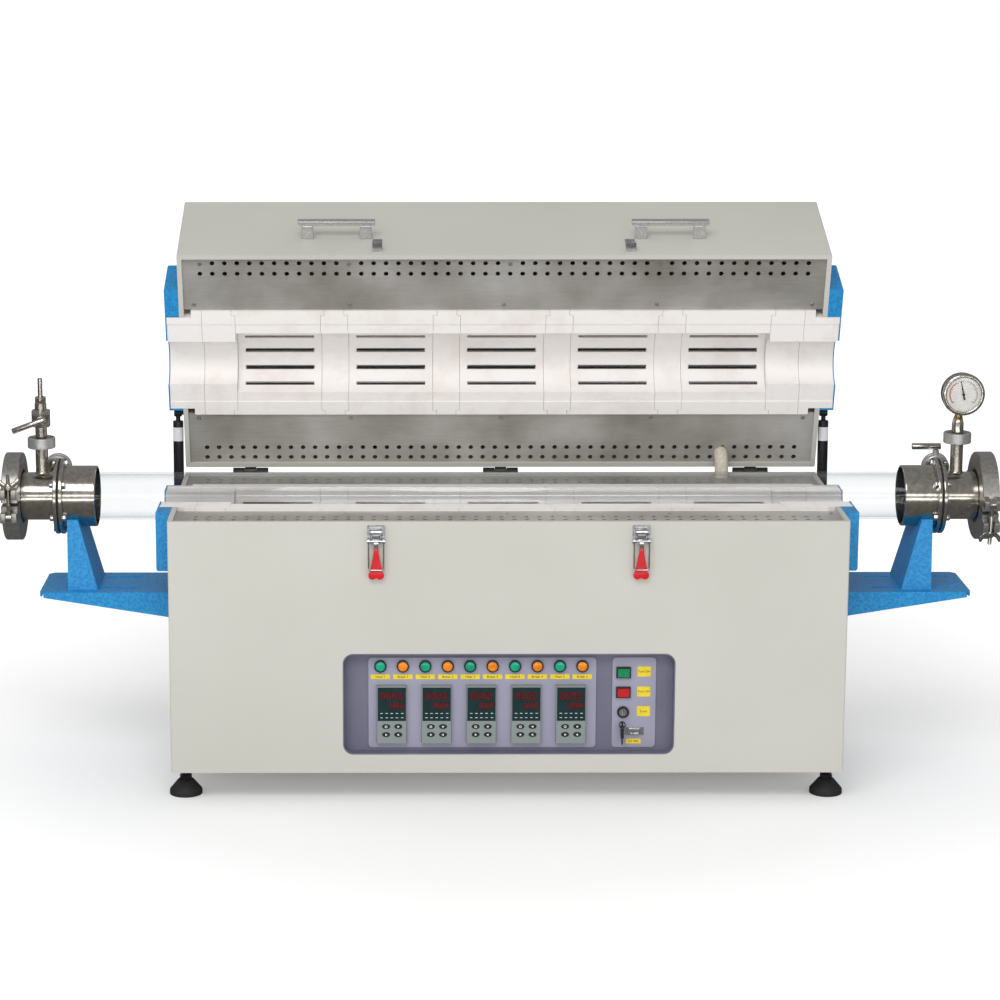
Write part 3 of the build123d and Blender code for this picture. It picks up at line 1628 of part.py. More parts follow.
# End caps: blank flanges with a flat seal, held by the clamps.
with BuildPart() as end_caps:
    rod(
        station(cap_start),
        (1, 0, 0),
        rim_diameter / 2,
        cap_thickness,
        sides=flange_sides,
    )
    rod(
        station(cap_start - end_seal_gap),
        (1, 0, 0),
        rim_diameter / 2 - end_seal_inset,
        end_seal_gap,
        sides=flange_sides,
    )
end_caps.part = both_ends(end_caps.part)
end_caps.part.label = "end_caps"
export_step(end_caps.part, "parts/end_caps.step")

# Six bolts through each pair of plates, head outside and nut inside.
with BuildPart() as flange_bolts:
    for i in range(bolt_count):
        a = radians(90 + i * 360 / bolt_count)
        y = bolt_circle / 2 * cos(a)
        z = axis_z + bolt_circle / 2 * sin(a)
        x = tube_offset + body_start
        grip = 2 * flange_thickness + seal_thickness
        rod((x, y, z), (1, 0, 0), bolt_head_diameter / 2, bolt_head_height, sides=pin_sides)
        rod((x, y, z), (-1, 0, 0), bolt_diameter / 2, grip, sides=6)
        with BuildSketch(Plane.YZ.offset(x - grip)):
            with Locations((y, z)):
                RegularPolygon(bolt_head_diameter / 2 * 0.9, 6)
        extrude(amount=-bolt_head_height * 0.8)
flange_bolts.part = both_ends(flange_bolts.part)
flange_bolts.part.label = "flange_bolts"
export_step(flange_bolts.part, "parts/flange_bolts.step")

# ---------------------------------------------------------------- end clamps
clamp_start = rim_start - 5.5
clamp_inner = rim_diameter / 2 + face_gap
clamp_lip = rim_diameter / 2 - 7.0
lug_offset = (lug_gap + lug_height) / 2
lug_pivot = clamp_diameter / 2 + 9.5
cavity_start = rim_start - face_gap
cavity_end = cap_start + cap_thickness + face_gap
with BuildPart() as clamp_halves:
    ring(
        station(clamp_start),
        (1, 0, 0),
        clamp_diameter / 2,
        clamp_lip,
        clamp_thickness,
        sides=flange_sides,
    )
    with BuildSketch(Plane.YZ.offset(tube_offset + clamp_start)):
        with Locations(
            (-lug_reach, axis_z + lug_offset),
            (-lug_reach, axis_z - lug_offset),
        ):
            Rectangle(lug_reach - clamp_lip - 8, lug_height, align=(Align.MIN, Align.CENTER))
        with Locations((clamp_diameter / 2 + 6, axis_z)):
            Rectangle(20, 26, align=(Align.MAX, Align.CENTER))
    extrude(amount=clamp_thickness)
    for start, radius, length in (
        (cavity_start, clamp_inner, cavity_end - cavity_start),
        (clamp_start, clamp_lip, clamp_thickness),
    ):
        rod(station(start), (1, 0, 0), radius, length, Mode.SUBTRACT, flange_sides)
    with BuildSketch(Plane.YZ.offset(tube_offset + clamp_start)):
        with Locations((0, axis_z)):
            Rectangle(3 * clamp_diameter, clamp_split)
    extrude(amount=clamp_thickness, mode=Mode.SUBTRACT)
    slot_root = lug_pivot - swing_bolt_diameter - face_gap
    with BuildSketch(Plane.XY.offset(axis_z)):
        with Locations((tube_offset + clamp_start + clamp_thickness / 2, -slot_root)):
            Rectangle(lug_slot, lug_reach, align=(Align.CENTER, Align.MAX))
    extrude(amount=lug_reach, both=True, mode=Mode.SUBTRACT)
    rod(
        (tube_offset + clamp_start, -lug_pivot, axis_z - lug_offset),
        (1, 0, 0),
        swing_pin_diameter / 2,
        clamp_thickness,
    )
    rod(
        (tube_offset + clamp_start, clamp_diameter / 2 + 1, axis_z),
        (1, 0, 0),
        2,
        clamp_thickness,
        sides=pin_sides,
    )


def port_clamp(x, rise):
    """Ring clamp round a pair of small vacuum flanges."""
    centre = axis_z + rise
    ring(
        (x, 0, centre - port_clamp_height / 2),
        (0, 0, 1),
        port_clamp_diameter / 2,
        port_flange_diameter / 2 + face_gap,
        port_clamp_height,
        sides=fine_sides * 2,
    )


tube_axis = Axis((0, 0, axis_z), (1, 0, 0))
right_port_x = tube_offset + port_position
left_port_x = tube_offset - port_position
with BuildPart() as port_clamps:
    port_clamp(right_port_x, right_port_height)
    port_clamp(left_port_x, left_port_height)
right_clamp = mirror(clamp_halves.part, about=parting_plane).rotate(tube_axis, clamp_tilt)
left_clamp = mirror(clamp_halves.part, about=tube_centre)
clamp_rings = Part() + [right_clamp, left_clamp, port_clamps.part]
clamp_rings.label = "clamp_rings"
export_step(clamp_rings, "parts/clamp_rings.step")

# Swing bolt: an eye on the lug's pin, a shank and a wing nut.
eye_radius = swing_bolt_diameter
with BuildPart() as swing_bolt:
    centre_x = tube_offset + clamp_start + clamp_thickness / 2
    eye = lug_slot - 2 * face_gap
    pin = (centre_x - eye / 2, -lug_pivot, axis_z - lug_offset)
    rod(pin, (1, 0, 0), eye_radius, eye, sides=fine_sides)
    nut_z = axis_z + lug_offset + lug_height / 2 + face_gap
    shank = swing_bolt_length
    rod(
        (centre_x, pin[1], pin[2]),
        (0, 0, 1),
        swing_bolt_diameter / 2,
        shank + 10,
        sides=pin_sides,
    )
    rod(
        (centre_x, pin[1], nut_z),
        (0, 0, 1),
        swing_bolt_diameter,
        9,
        sides=fine_sides,
    )
    with BuildSketch(Plane.XZ.offset(lug_pivot + 2)):
        for side in (-1, 1):
            with BuildLine():
                Polyline(
                    (centre_x + side * 3, nut_z + 2),
                    (centre_x + side * wing_span / 2, nut_z + 14),
                    (centre_x + side * (wing_span / 2 - 3), nut_z + 21),
                    (centre_x + side * 3, nut_z + 9),
                    close=True,
                )
            make_face()
    extrude(amount=-4)
    rod(
        (pin[0], pin[1], pin[2]),
        (1, 0, 0),
        swing_pin_diameter / 2 + running_fit,
        eye,
        Mode.SUBTRACT,
    )
swing_bolt_left = mirror(swing_bolt.part, about=tube_centre)
swing_bolt_left.label = "swing_bolt_left"
export_step(swing_bolt_left, "parts/swing_bolt_left.step")
swing_bolt_right = mirror(swing_bolt.part, about=parting_plane).rotate(tube_axis, clamp_tilt)
swing_bolt_right.label = "swing_bolt_right"
export_step(swing_bolt_right, "parts/swing_bolt_right.step")

# ---------------------------------------------------------------- valves and gauge
stem_diameter = 7.0
lever_pivot_x = left_port_x + 3.0
valve_z = axis_z + left_port_height + 41.0
valve_neck = 19.6
valve_body_width = 34.0
valve_body_height = 28.0
nozzle_wall = 1.5
with BuildPart() as gas_valve:
    port_top = axis_z + left_port_height + face_gap
    port_stem = (left_port_x, 0, port_top)
    rod(
        port_stem,
        (0, 0, 1),
        port_flange_diameter / 2,
        port_flange_thickness,
        sides=fine_sides,
    )
    rod(port_stem, (0, 0, 1), valve_neck / 2, valve_z - port_top, sides=fine_sides)
    with BuildSketch(Plane.XY.offset(valve_z - valve_body_height / 2)):
        with Locations((left_port_x, 0)):
            RegularPolygon(valve_body_width / 2, 6)
    extrude(amount=valve_body_height)
    rod((left_port_x, 0, valve_z), (0, 0, 1), valve_neck / 2, 28, sides=fine_sides)
    with BuildSketch(Plane.XY.offset(valve_z + 26)):
        with Locations((left_port_x, 0)):
            RegularPolygon(10, 6)
    extrude(amount=10)
    rod(
        (left_port_x, 0, valve_z + 30),
        (0, 0, 1),
        nozzle_diameter / 2,
        nozzle_length + 8,
    )
    rod((lever_pivot_x, -12, valve_z), (0, -1, 0), 7.5, 10, sides=fine_sides)
    rod(
        (lever_pivot_x, -22, valve_z),
        (0, 1, 0),
        stem_diameter / 2 + running_fit,
        14,
        Mode.SUBTRACT,
    )
    rod(
        (left_port_x, 0, valve_z + 20),
        (0, 0, 1),
        nozzle_diameter / 2 - nozzle_wall,
        60,
        Mode.SUBTRACT,
        pin_sides,
    )
rear_end = (
    tube_offset + rear_port_position,
    rear_port_reach * rear_direction[1],
    axis_z + rear_port_reach * rear_direction[2],
)
rear_boss = 5.5
rear_boss_height = 8.0
rear_stem_seat = 6.0
rear_stem_y = rear_end[1] + port_clamp_height / 2 * rear_direction[1]
rear_boss_z = rear_end[2] + port_clamp_diameter / 2 * rear_direction[1]
rear_lever_z = rear_end[2] + 37.0
rear_clamp = port_clamp_diameter / 2
with BuildPart() as rear_valve:
    rod(rear_end, rear_direction, rear_clamp, port_clamp_height, sides=fine_sides * 2)
    rod(
        (rear_end[0], rear_stem_y, rear_boss_z),
        (0, 0, 1),
        rear_boss,
        rear_boss_height,
        sides=fine_sides,
    )
    rod(
        (rear_end[0], rear_stem_y, rear_boss_z + rear_boss_height),
        (0, 0, -1),
        stem_diameter / 2 + running_fit,
        rear_stem_seat,
        Mode.SUBTRACT,
    )
with BuildPart() as rear_blank:
    rod(rear_end, rear_direction, rear_clamp, port_clamp_height, sides=fine_sides * 2)
valve_bodies = Part() + [
    gas_valve.part,
    rear_valve.part,
    mirror(rear_blank.part, about=tube_centre),
]
valve_bodies.label = "valve_bodies"
export_step(valve_bodies, "parts/valve_bodies.step")

lever_y = -lever_standoff
lever_end_back = 6.0
with BuildPart() as gas_valve_lever:
    lever_direction = (
        -cos(radians(lever_drop)),
        0,
        -sin(radians(lever_drop)),
    )
    lever_root = (
        lever_pivot_x - lever_direction[0] * lever_end_back,
        lever_y,
        valve_z - lever_direction[2] * lever_end_back,
    )
    rod(lever_root, lever_direction, lever_diameter / 2, lever_length, sides=fine_sides)
    rod(
        (lever_pivot_x, lever_y, valve_z),
        (0, 1, 0),
        stem_diameter / 2,
        lever_standoff - 9,
    )
gas_valve_lever.part.label = "gas_valve_lever"
export_step(gas_valve_lever.part, "parts/gas_valve_lever.step")

rear_lever_length = 49.0
rear_lever_diameter = 11.0
with BuildPart() as rear_valve_lever:
    rod(
        (rear_end[0] + 8, rear_stem_y, rear_lever_z),
        (-1, 0, 0),
        rear_lever_diameter / 2,
        rear_lever_length,
        sides=fine_sides,
    )
    rod(
        (rear_end[0], rear_stem_y, rear_lever_z),
        (0, 0, -1),
        stem_diameter / 2,
        rear_lever_z - rear_boss_z - rear_boss_height + rear_stem_seat - seat_gap,
    )
rear_valve_lever.part.label = "rear_valve_lever"
export_step(rear_valve_lever.part, "parts/rear_valve_lever.step")

gauge_x = right_port_x + 3.5
gauge_z = axis_z + gauge_rise
gauge_front = -26.0
gauge_bezel = 6.5
glass_recess = 1.2
glass_thickness = 2.0
dial_depth = 5.0
gauge_pivot = 2.4
with BuildPart() as gauge_case:
    port_top = axis_z + right_port_height + face_gap
    rod(
        (right_port_x, 0, port_top),
        (0, 0, 1),
        port_flange_diameter / 2,
        port_flange_thickness,
        sides=fine_sides,
    )
    rod((right_port_x, 0, port_top), (0, 0, 1), valve_neck / 2, 32, sides=fine_sides)
    rod((right_port_x, -3, port_top + 26), (0, 0, 1), 6.5, 20, sides=pin_sides)
    rod(
        (gauge_x, gauge_front, gauge_z),
        (0, 1, 0),
        gauge_diameter / 2,
        gauge_depth,
        sides=flange_sides,
    )
    rod(
        (gauge_x, gauge_front, gauge_z),
        (0, 1, 0),
        gauge_diameter / 2 - gauge_bezel,
        dial_depth,
        Mode.SUBTRACT,
        flange_sides,
    )
    rod(
        (gauge_x, gauge_front, gauge_z),
        (0, 1, 0),
        gauge_pivot / 2 + running_fit,
        dial_depth + 5,
        Mode.SUBTRACT,
    )
gauge_case.part.label = "gauge_case"
export_step(gauge_case.part, "parts/gauge_case.step")

with BuildPart() as gauge_glass:
    rod(
        (gauge_x, gauge_front + glass_recess, gauge_z),
        (0, 1, 0),
        gauge_diameter / 2 - gauge_bezel - seat_gap,
        glass_thickness,
        sides=fine_sides * 2,
    )
gauge_glass.part.label = "gauge_glass"
export_step(gauge_glass.part, "parts/gauge_glass.step")

needle_y = gauge_front + dial_depth - 0.9
with BuildPart() as gauge_needle:
    rod((gauge_x, needle_y, gauge_z), (0, 1, 0), gauge_pivot / 2, 4.5)
    rod((gauge_x, needle_y - 0.5, gauge_z), (0, 1, 0), 2.5, 1, sides=pin_sides)
    with BuildSketch(Plane.XZ.offset(-needle_y)):
        with BuildLine():
            Polyline(
                (gauge_x - 1.5, gauge_z - 9),
                (gauge_x + 1.5, gauge_z - 9),
                (gauge_x + 0.5, gauge_z + needle_length),
                (gauge_x - 0.5, gauge_z + needle_length),
                close=True,
            )
        make_face()
    extrude(amount=0.5)
gauge_needle.part = gauge_needle.part.rotate(Axis((gauge_x, 0, gauge_z), (0, 1, 0)), -needle_lean)
gauge_needle.part.label = "gauge_needle"
export_step(gauge_needle.part, "parts/gauge_needle.step")

# ---------------------------------------------------------------- inside the base
# Solid-state relays on a finned heat sink, screwed to the floor pan.
sink_length = 260.0
sink_width = 110.0
fin_count = 12
fin_height = 30.0
fin_thickness = 2.0
relay_width = 45.0
relay_length = 60.0
relay_height = 24.0
sink_bottom = ground_clearance + sheet
with BuildPart() as relay_bank:
    with BuildSketch(Plane.YZ.offset(-sink_length / 2)):
        with Locations((0, sink_bottom + fin_height)):
            Rectangle(sink_width, 6, align=(Align.CENTER, Align.MIN))
        for i in range(fin_count):
            y = (i - (fin_count - 1) / 2) * (sink_width - fin_thickness) / (fin_count - 1)
            with Locations((y, sink_bottom)):
                Rectangle(fin_thickness, fin_height, align=(Align.CENTER, Align.MIN))
    extrude(amount=sink_length)
    with BuildSketch(Plane.XY.offset(sink_bottom + fin_height + 6)):
        with GridLocations(relay_width + 5, 1, zone_count, 1):
            Rectangle(relay_width, relay_length)
    extrude(amount=relay_height)
relay_bank.part.label = "relay_bank"
export_step(relay_bank.part, "parts/relay_bank.step")
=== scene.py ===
import math

import bmesh
import bpy
from mathutils import Matrix, Vector


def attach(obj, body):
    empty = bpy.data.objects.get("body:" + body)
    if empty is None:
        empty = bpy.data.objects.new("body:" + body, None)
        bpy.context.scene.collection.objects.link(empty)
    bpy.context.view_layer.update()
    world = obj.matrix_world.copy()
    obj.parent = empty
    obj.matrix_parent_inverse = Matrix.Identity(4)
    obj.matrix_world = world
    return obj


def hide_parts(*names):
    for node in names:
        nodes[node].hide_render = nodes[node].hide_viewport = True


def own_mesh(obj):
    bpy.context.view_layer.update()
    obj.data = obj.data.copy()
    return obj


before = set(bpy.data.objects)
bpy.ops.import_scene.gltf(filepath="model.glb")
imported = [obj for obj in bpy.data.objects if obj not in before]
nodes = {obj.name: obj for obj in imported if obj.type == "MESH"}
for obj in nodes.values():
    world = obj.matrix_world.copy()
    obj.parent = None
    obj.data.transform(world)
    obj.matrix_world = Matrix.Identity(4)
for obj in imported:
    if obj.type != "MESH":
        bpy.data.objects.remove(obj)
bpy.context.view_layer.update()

# ------------------------------------------------------------ surfaces
# Painted steel of the casing: fine textured powder coat, warm pale grey, a
# little uneven. Folded sheet edges catch the light.
steel_paint = bpy.data.materials.new("powder coat")


def shading(material):
    """Switch on a material's nodes and give its tree, shader and object space."""
    material.use_nodes = True
    tree = material.node_tree
    where = tree.nodes.new("ShaderNodeTexCoord")
    return tree, tree.nodes["Principled BSDF"], where.outputs["Object"]


def noise(tree, place, scale, detail=2.0):
    """Add cloudy noise and give its value."""
    cloud = tree.nodes.new("ShaderNodeTexNoise")
    cloud.inputs["Scale"].default_value = scale
    cloud.inputs["Detail"].default_value = detail
    tree.links.new(place, cloud.inputs["Vector"])
    return cloud.outputs["Fac"]


def tones(tree, value, low, low_colour, high, high_colour):
    """Run from one colour to another as a value goes from low to high."""
    ramp = tree.nodes.new("ShaderNodeValToRGB")
    for stop, at, colour in zip(
        ramp.color_ramp.elements, (low, high), (low_colour, high_colour)
    ):
        stop.position = at
        stop.color = (*colour, 1)
    tree.links.new(value, ramp.inputs["Fac"])
    return ramp.outputs["Color"]


def ranged(tree, value, low, high):
    """Map a value from 0 to 1 onto low to high."""
    span = tree.nodes.new("ShaderNodeMapRange")
    span.inputs["To Min"].default_value = low
    span.inputs["To Max"].default_value = high
    tree.links.new(value, span.inputs["Value"])
    return span.outputs["Result"]


def embossed(tree, shader, value, strength, distance):
    """Raise the surface a little where the value is high."""
    bump = tree.nodes.new("ShaderNodeBump")
    bump.inputs["Strength"].default_value = strength
    bump.inputs["Distance"].default_value = distance
    tree.links.new(value, bump.inputs["Height"])
    tree.links.new(bump.outputs["Normal"], shader.inputs["Normal"])


tree, shader, place = shading(steel_paint)
shader.inputs["Roughness"].default_value = 0.42
shader.inputs["Specular IOR Level"].default_value = 0.35
colour = tones(
    tree, noise(tree, place, 3.0, 3.0), 0.3, (0.545, 0.540, 0.490), 0.7, (0.590, 0.580, 0.530)
)
tree.links.new(colour, shader.inputs["Base Color"])
embossed(tree, shader, noise(tree, place, 900.0, 1.0), 0.12, 0.0004)

# Brushed stainless sheet round the hot chamber, browned by heat in places.
sheet_steel = bpy.data.materials.new("brushed stainless sheet")
tree, shader, place = shading(sheet_steel)
shader.inputs["Metallic"].default_value = 0.45
stretch = tree.nodes.new("ShaderNodeMapping")
stretch.inputs["Scale"].default_value = (6, 260, 260)
tree.links.new(place, stretch.inputs["Vector"])
brush = noise(tree, stretch.outputs["Vector"], 4.0, 4.0)
stain = tones(
    tree, noise(tree, place, 7.0, 5.0), 0.32, (0.36, 0.34, 0.305), 0.7, (0.68, 0.665, 0.635)
)
shade = tree.nodes.new("ShaderNodeMix")
shade.data_type = "RGBA"
shade.blend_type = "MULTIPLY"
shade.inputs[0].default_value = 0.35
tree.links.new(stain, shade.inputs[6])
tree.links.new(brush, shade.inputs[7])
tree.links.new(shade.outputs[2], shader.inputs["Base Color"])
tree.links.new(ranged(tree, brush, 0.25, 0.5), shader.inputs["Roughness"])
embossed(tree, shader, brush, 0.15, 0.0005)

# Vacuum-formed ceramic fibre: matt warm white with faint pink patches and pits.
fibre = bpy.data.materials.new("ceramic fibre")
tree, shader, place = shading(fibre)
shader.inputs["Roughness"].default_value = 0.95
shader.inputs["Specular IOR Level"].default_value = 0.1
patch = noise(tree, place, 14.0, 6.0)
patch.node.inputs["Roughness"].default_value = 0.65
colour = tones(tree, patch, 0.34, (0.83, 0.775, 0.745), 0.5, (0.885, 0.855, 0.83))
tree.links.new(colour, shader.inputs["Base Color"])
embossed(tree, shader, noise(tree, place, 260.0, 4.0), 0.4, 0.001)

# Oxidised heating wire, nearly black with grey specks.
wire = bpy.data.materials.new("oxidised heating wire")
tree, shader, place = shading(wire)
shader.inputs["Roughness"].default_value = 0.75
shader.inputs["Metallic"].default_value = 0.3
colour = tones(
    tree, noise(tree, place, 420.0), 0.5, (0.012, 0.011, 0.011), 0.75, (0.16, 0.15, 0.14)
)
tree.links.new(colour, shader.inputs["Base Color"])

# Blue hammertone enamel on the shelves, supports and end covers: small raised
# cells of paint over the steel.
hammer = bpy.data.materials.new("blue hammertone enamel")
tree, shader, place = shading(hammer)
shader.inputs["Roughness"].default_value = 0.34
shader.inputs["Specular IOR Level"].default_value = 0.35
cells = tree.nodes.new("ShaderNodeTexVoronoi")
cells.inputs["Scale"].default_value = 230.0
tree.links.new(place, cells.inputs["Vector"])
raised = cells.outputs["Distance"]
colour = tones(tree, raised, 0.1, (0.006, 0.190, 0.500), 0.75, (0.022, 0.300, 0.640))
tree.links.new(colour, shader.inputs["Base Color"])
embossed(tree, shader, raised, 0.35, 0.0006)

# Lavender-grey enamel of the control plates and a darker one for their pan.
plate_paint = bpy.data.materials.new("lavender grey enamel")
pan_paint = bpy.data.materials.new("dark grey enamel")
for paint, low, high in (
    (plate_paint, (0.300, 0.298, 0.395), (0.335, 0.330, 0.432)),
    (pan_paint, (0.140, 0.140, 0.205), (0.165, 0.165, 0.232)),
):
    tree, shader, place = shading(paint)
    shader.inputs["Roughness"].default_value = 0.38
    colour = tones(tree, noise(tree, place, 9.0), 0.35, low, 0.65, high)
    tree.links.new(colour, shader.inputs["Base Color"])

# Plain moulded, plated and turned finishes. Each differs in colour, metalness
# and roughness, with a light speckle so that no surface is perfectly even.
finishes = {}
for name, colour, metallic, roughness, scale, spread in (
    ("grey green plastic", (0.235, 0.275, 0.265), 0.0, 0.45, 500.0, 0.06),
    ("black plastic", (0.014, 0.014, 0.015), 0.0, 0.4, 500.0, 0.15),
    ("black rubber", (0.016, 0.016, 0.017), 0.0, 0.7, 300.0, 0.2),
    ("satin black steel", (0.012, 0.012, 0.013), 0.2, 0.38, 200.0, 0.15),
    ("red dipped plastic", (0.62, 0.010, 0.018), 0.0, 0.22, 60.0, 0.08),
    ("green lens", (0.008, 0.36, 0.20), 0.0, 0.12, 90.0, 0.2),
    ("amber lens", (0.80, 0.24, 0.015), 0.0, 0.12, 90.0, 0.15),
    ("green cap", (0.0, 0.235, 0.095), 0.0, 0.3, 200.0, 0.1),
    ("red cap", (0.50, 0.006, 0.012), 0.0, 0.3, 200.0, 0.1),
    ("bright zinc plate", (0.62, 0.63, 0.65), 1.0, 0.26, 150.0, 0.12),
    ("bright chrome", (0.72, 0.73, 0.74), 1.0, 0.12, 150.0, 0.08),
    ("satin aluminium", (0.66, 0.66, 0.65), 0.85, 0.38, 260.0, 0.1),
    ("polished stainless", (0.58, 0.545, 0.49), 1.0, 0.17, 120.0, 0.12),
    ("cast stainless", (0.46, 0.44, 0.41), 0.9, 0.36, 160.0, 0.12),
    ("glass sleeving", (0.62, 0.58, 0.48), 0.0, 0.9, 400.0, 0.15),
    ("alumina sheath", (0.74, 0.71, 0.66), 0.0, 0.55, 200.0, 0.06),
    ("yellow label", (0.80, 0.62, 0.02), 0.0, 0.5, 120.0, 0.06),
    ("white print", (0.72, 0.73, 0.74), 0.0, 0.5, 400.0, 0.05),
    ("black print", (0.012, 0.012, 0.014), 0.0, 0.5, 400.0, 0.1),
    ("dark screen", (0.010, 0.032, 0.036), 0.0, 0.15, 80.0, 0.1),
    ("dark red digits", (0.20, 0.012, 0.014), 0.0, 0.25, 200.0, 0.15),
    ("brass", (0.62, 0.42, 0.16), 1.0, 0.25, 200.0, 0.1),
    ("dial white", (0.76, 0.73, 0.70), 0.0, 0.6, 100.0, 0.05),
):
    finish = bpy.data.materials.new(name)
    finishes[name] = finish
    tree, shader, place = shading(finish)
    shader.inputs["Metallic"].default_value = metallic
    cloud = noise(tree, place, scale)
    darker = [c * (1 - spread) for c in colour]
    lighter = [min(c * (1 + spread), 1) for c in colour]
    tree.links.new(tones(tree, cloud, 0.35, darker, 0.65, lighter), shader.inputs["Base Color"])
    wear = ranged(tree, cloud, roughness * 0.85, min(roughness * 1.15, 1))
    tree.links.new(wear, shader.inputs["Roughness"])

# Clear fused quartz and gauge glass. The walls are thin, so light passes nearly
# straight through and only the sheen grows towards grazing angles.
quartz = bpy.data.materials.new("fused quartz")
gauge_pane = bpy.data.materials.new("gauge glass")
for glass, tint, edge, roughness in (
    (quartz, (0.972, 0.976, 0.978), (0.86, 0.87, 0.875), 0.035),
    (gauge_pane, (0.98, 0.985, 0.98), (0.95, 0.955, 0.95), 0.03),
):
    tree, shader, place = shading(glass)
    shader.inputs["Base Color"].default_value = (0.95, 0.96, 0.96, 1)
    shader.inputs["Metallic"].default_value = 1.0
    haze = ranged(tree, noise(tree, place, 12.0), roughness, roughness * 2)
    tree.links.new(haze, shader.inputs["Roughness"])
    graze = tree.nodes.new("ShaderNodeLayerWeight")
    graze.inputs["Blend"].default_value = 0.5
    facing = graze.outputs["Facing"]
    clear = tree.nodes.new("ShaderNodeBsdfTransparent")
    tree.links.new(tones(tree, facing, 0.25, tint, 0.95, edge), clear.inputs["Color"])
    sheen = tones(tree, facing, 0.3, (0.035, 0.035, 0.035), 1.0, (0.34, 0.34, 0.34))
    sheen.node.color_ramp.elements.new(0.82).color = (0.07, 0.07, 0.07, 1)
    choose = tree.nodes.new("ShaderNodeMixShader")
    tree.links.new(sheen, choose.inputs["Fac"])
    tree.links.new(clear.outputs["BSDF"], choose.inputs[1])
    tree.links.new(shader.outputs["BSDF"], choose.inputs[2])
    tree.links.new(choose.outputs["Shader"], tree.nodes["Material Output"].inputs["Surface"])

# Every built piece takes the surface of the real one.
for surface, names in (
    (steel_paint, "base_shell base_floor_pan base_rear_panel lid_shell"),
    (sheet_steel, "deck_sheets base_trough lid_sheets"),
    (
        fibre,
        "base_heater_modules base_insulation_blocks"
        " lid_heater_modules lid_insulation_blocks",
    ),
    (wire, "base_heating_coils lid_heating_coils"),
    (hammer, "base_end_covers lid_end_covers end_shelves tube_supports"),
    (pan_paint, "control_recess"),
    (plate_paint, "panel_plates"),
    (finishes["grey green plastic"], "temperature_controllers"),
    (finishes["black plastic"], "panel_bezels hanging_key"),
    (finishes["green lens"], "green_lamps"),
    (finishes["amber lens"], "amber_lamps"),
    (finishes["green cap"], "green_button"),
    (finishes["red cap"], "red_button"),
    (finishes["bright zinc plate"], "lock_plug serial_port latch_bases lid_catches"),
    (finishes["bright zinc plate"], "flange_bolts"),
    (finishes["red dipped plastic"], "latch_lever_left latch_lever_right"),
    (finishes["bright chrome"], "latch_bail_left latch_bail_right"),
    (finishes["satin aluminium"], "lid_handles relay_bank"),
    (quartz, "quartz_tube"),
    (gauge_pane, "gauge_glass"),
    (finishes["polished stainless"], "flange_sleeves flange_bodies end_caps"),
    (finishes["polished stainless"], "valve_bodies gauge_case"),
    (finishes["polished stainless"], "gas_valve_lever rear_valve_lever"),
    (finishes["cast stainless"], "clamp_rings swing_bolt_left swing_bolt_right"),
    (finishes["black rubber"], "flange_seals levelling_feet"),
    (finishes["black print"], "gauge_needle"),
    (finishes["glass sleeving"], "wiring_sleeve"),
    (finishes["alumina sheath"], "thermocouples"),
    (finishes["satin black steel"], "hinge_base_leaves hinge_lid_leaves"),
    (finishes["satin black steel"], "strut_base_studs strut_rods strut_cylinders"),
    (finishes["satin black steel"], "strut_lid_studs"),
):
    for name in names.split():
        nodes[name].data.materials.clear()
        nodes[name].data.materials.append(surface)

# ------------------------------------------------------------ hot chamber
# The deck either side of the trough is thin stainless sheet with two rows of
# punched cooling holes in front and behind. The sleeving passes through a gap.
sheet_end = 0.542
cells = 50
hole_radius = 0.004


def punched(rows, start, pitch, height, thickness, left_out=(), plain=()):
    """Draw a strip of sheet each side of the trough, with rows of round holes."""
    shape = bmesh.new()
    square = [(1, 0), (1, 0.5), (1, 1), (0.5, 1), (0, 1), (-0.5, 1), (-1, 1), (-1, 0.5)]
    square += [(-u, -v) for u, v in square]
    turns = [k * math.pi / 8 for k in range(16)]
    for edge in (-1, 1):
        for low, high, hole in rows:
            for i in range(-1, cells + 1):
                if (edge, low, i) in left_out:
                    continue
                left = start + pitch * i if i >= 0 else -sheet_end
                right = start + pitch * (i + 1) if i < cells else sheet_end
                middle = (left + right) / 2
                across = (low + high) / 2
                half_x = (right - left) / 2
                half_y = (high - low) / 2
                rim = [
                    shape.verts.new((middle + u * half_x, edge * (across + v * half_y), height))
                    for u, v in square
                ]
                if hole is None or i in (-1, cells) or (edge, low, i) in plain:
                    shape.faces.new(rim)
                    continue
                mouth = [
                    (middle + hole_radius * math.cos(t), edge * (hole + hole_radius * math.sin(t)))
                    for t in turns
                ]
                mouth = [shape.verts.new((*point, height)) for point in mouth]
                for k in range(16):
                    shape.faces.new((rim[k], rim[k - 15], mouth[k - 15], mouth[k]))
    bmesh.ops.remove_doubles(shape, verts=shape.verts, dist=0.00005)
    bmesh.ops.recalc_face_normals(shape, faces=shape.faces)
    thickened(shape, shape.faces[:], (0, 0, thickness))
    return shape


def thickened(shape, faces, vec):
    """Give flat faces a thickness and give the new corners."""
    grown = bmesh.ops.extrude_face_region(shape, geom=faces)
    moved = [v for v in grown["geom"] if isinstance(v, bmesh.types.BMVert)]
    bmesh.ops.translate(shape, verts=moved, vec=vec)
    return moved


def finished(shape, label, surfaces, smooth=True, sharp=0):
    """Make the drawn shape an object; sharp is the angle that stays an edge."""
    if smooth:
        for face in shape.faces:
            face.smooth = True
    mesh = bpy.data.meshes.new(label)
    shape.to_mesh(mesh)
    shape.free()
    if sharp:
        mesh.set_sharp_from_angle(angle=math.radians(sharp))
    for surface in surfaces:
        mesh.materials.append(surface)
    made = bpy.data.objects.new(label, mesh)
    bpy.context.collection.objects.link(made)
    return made


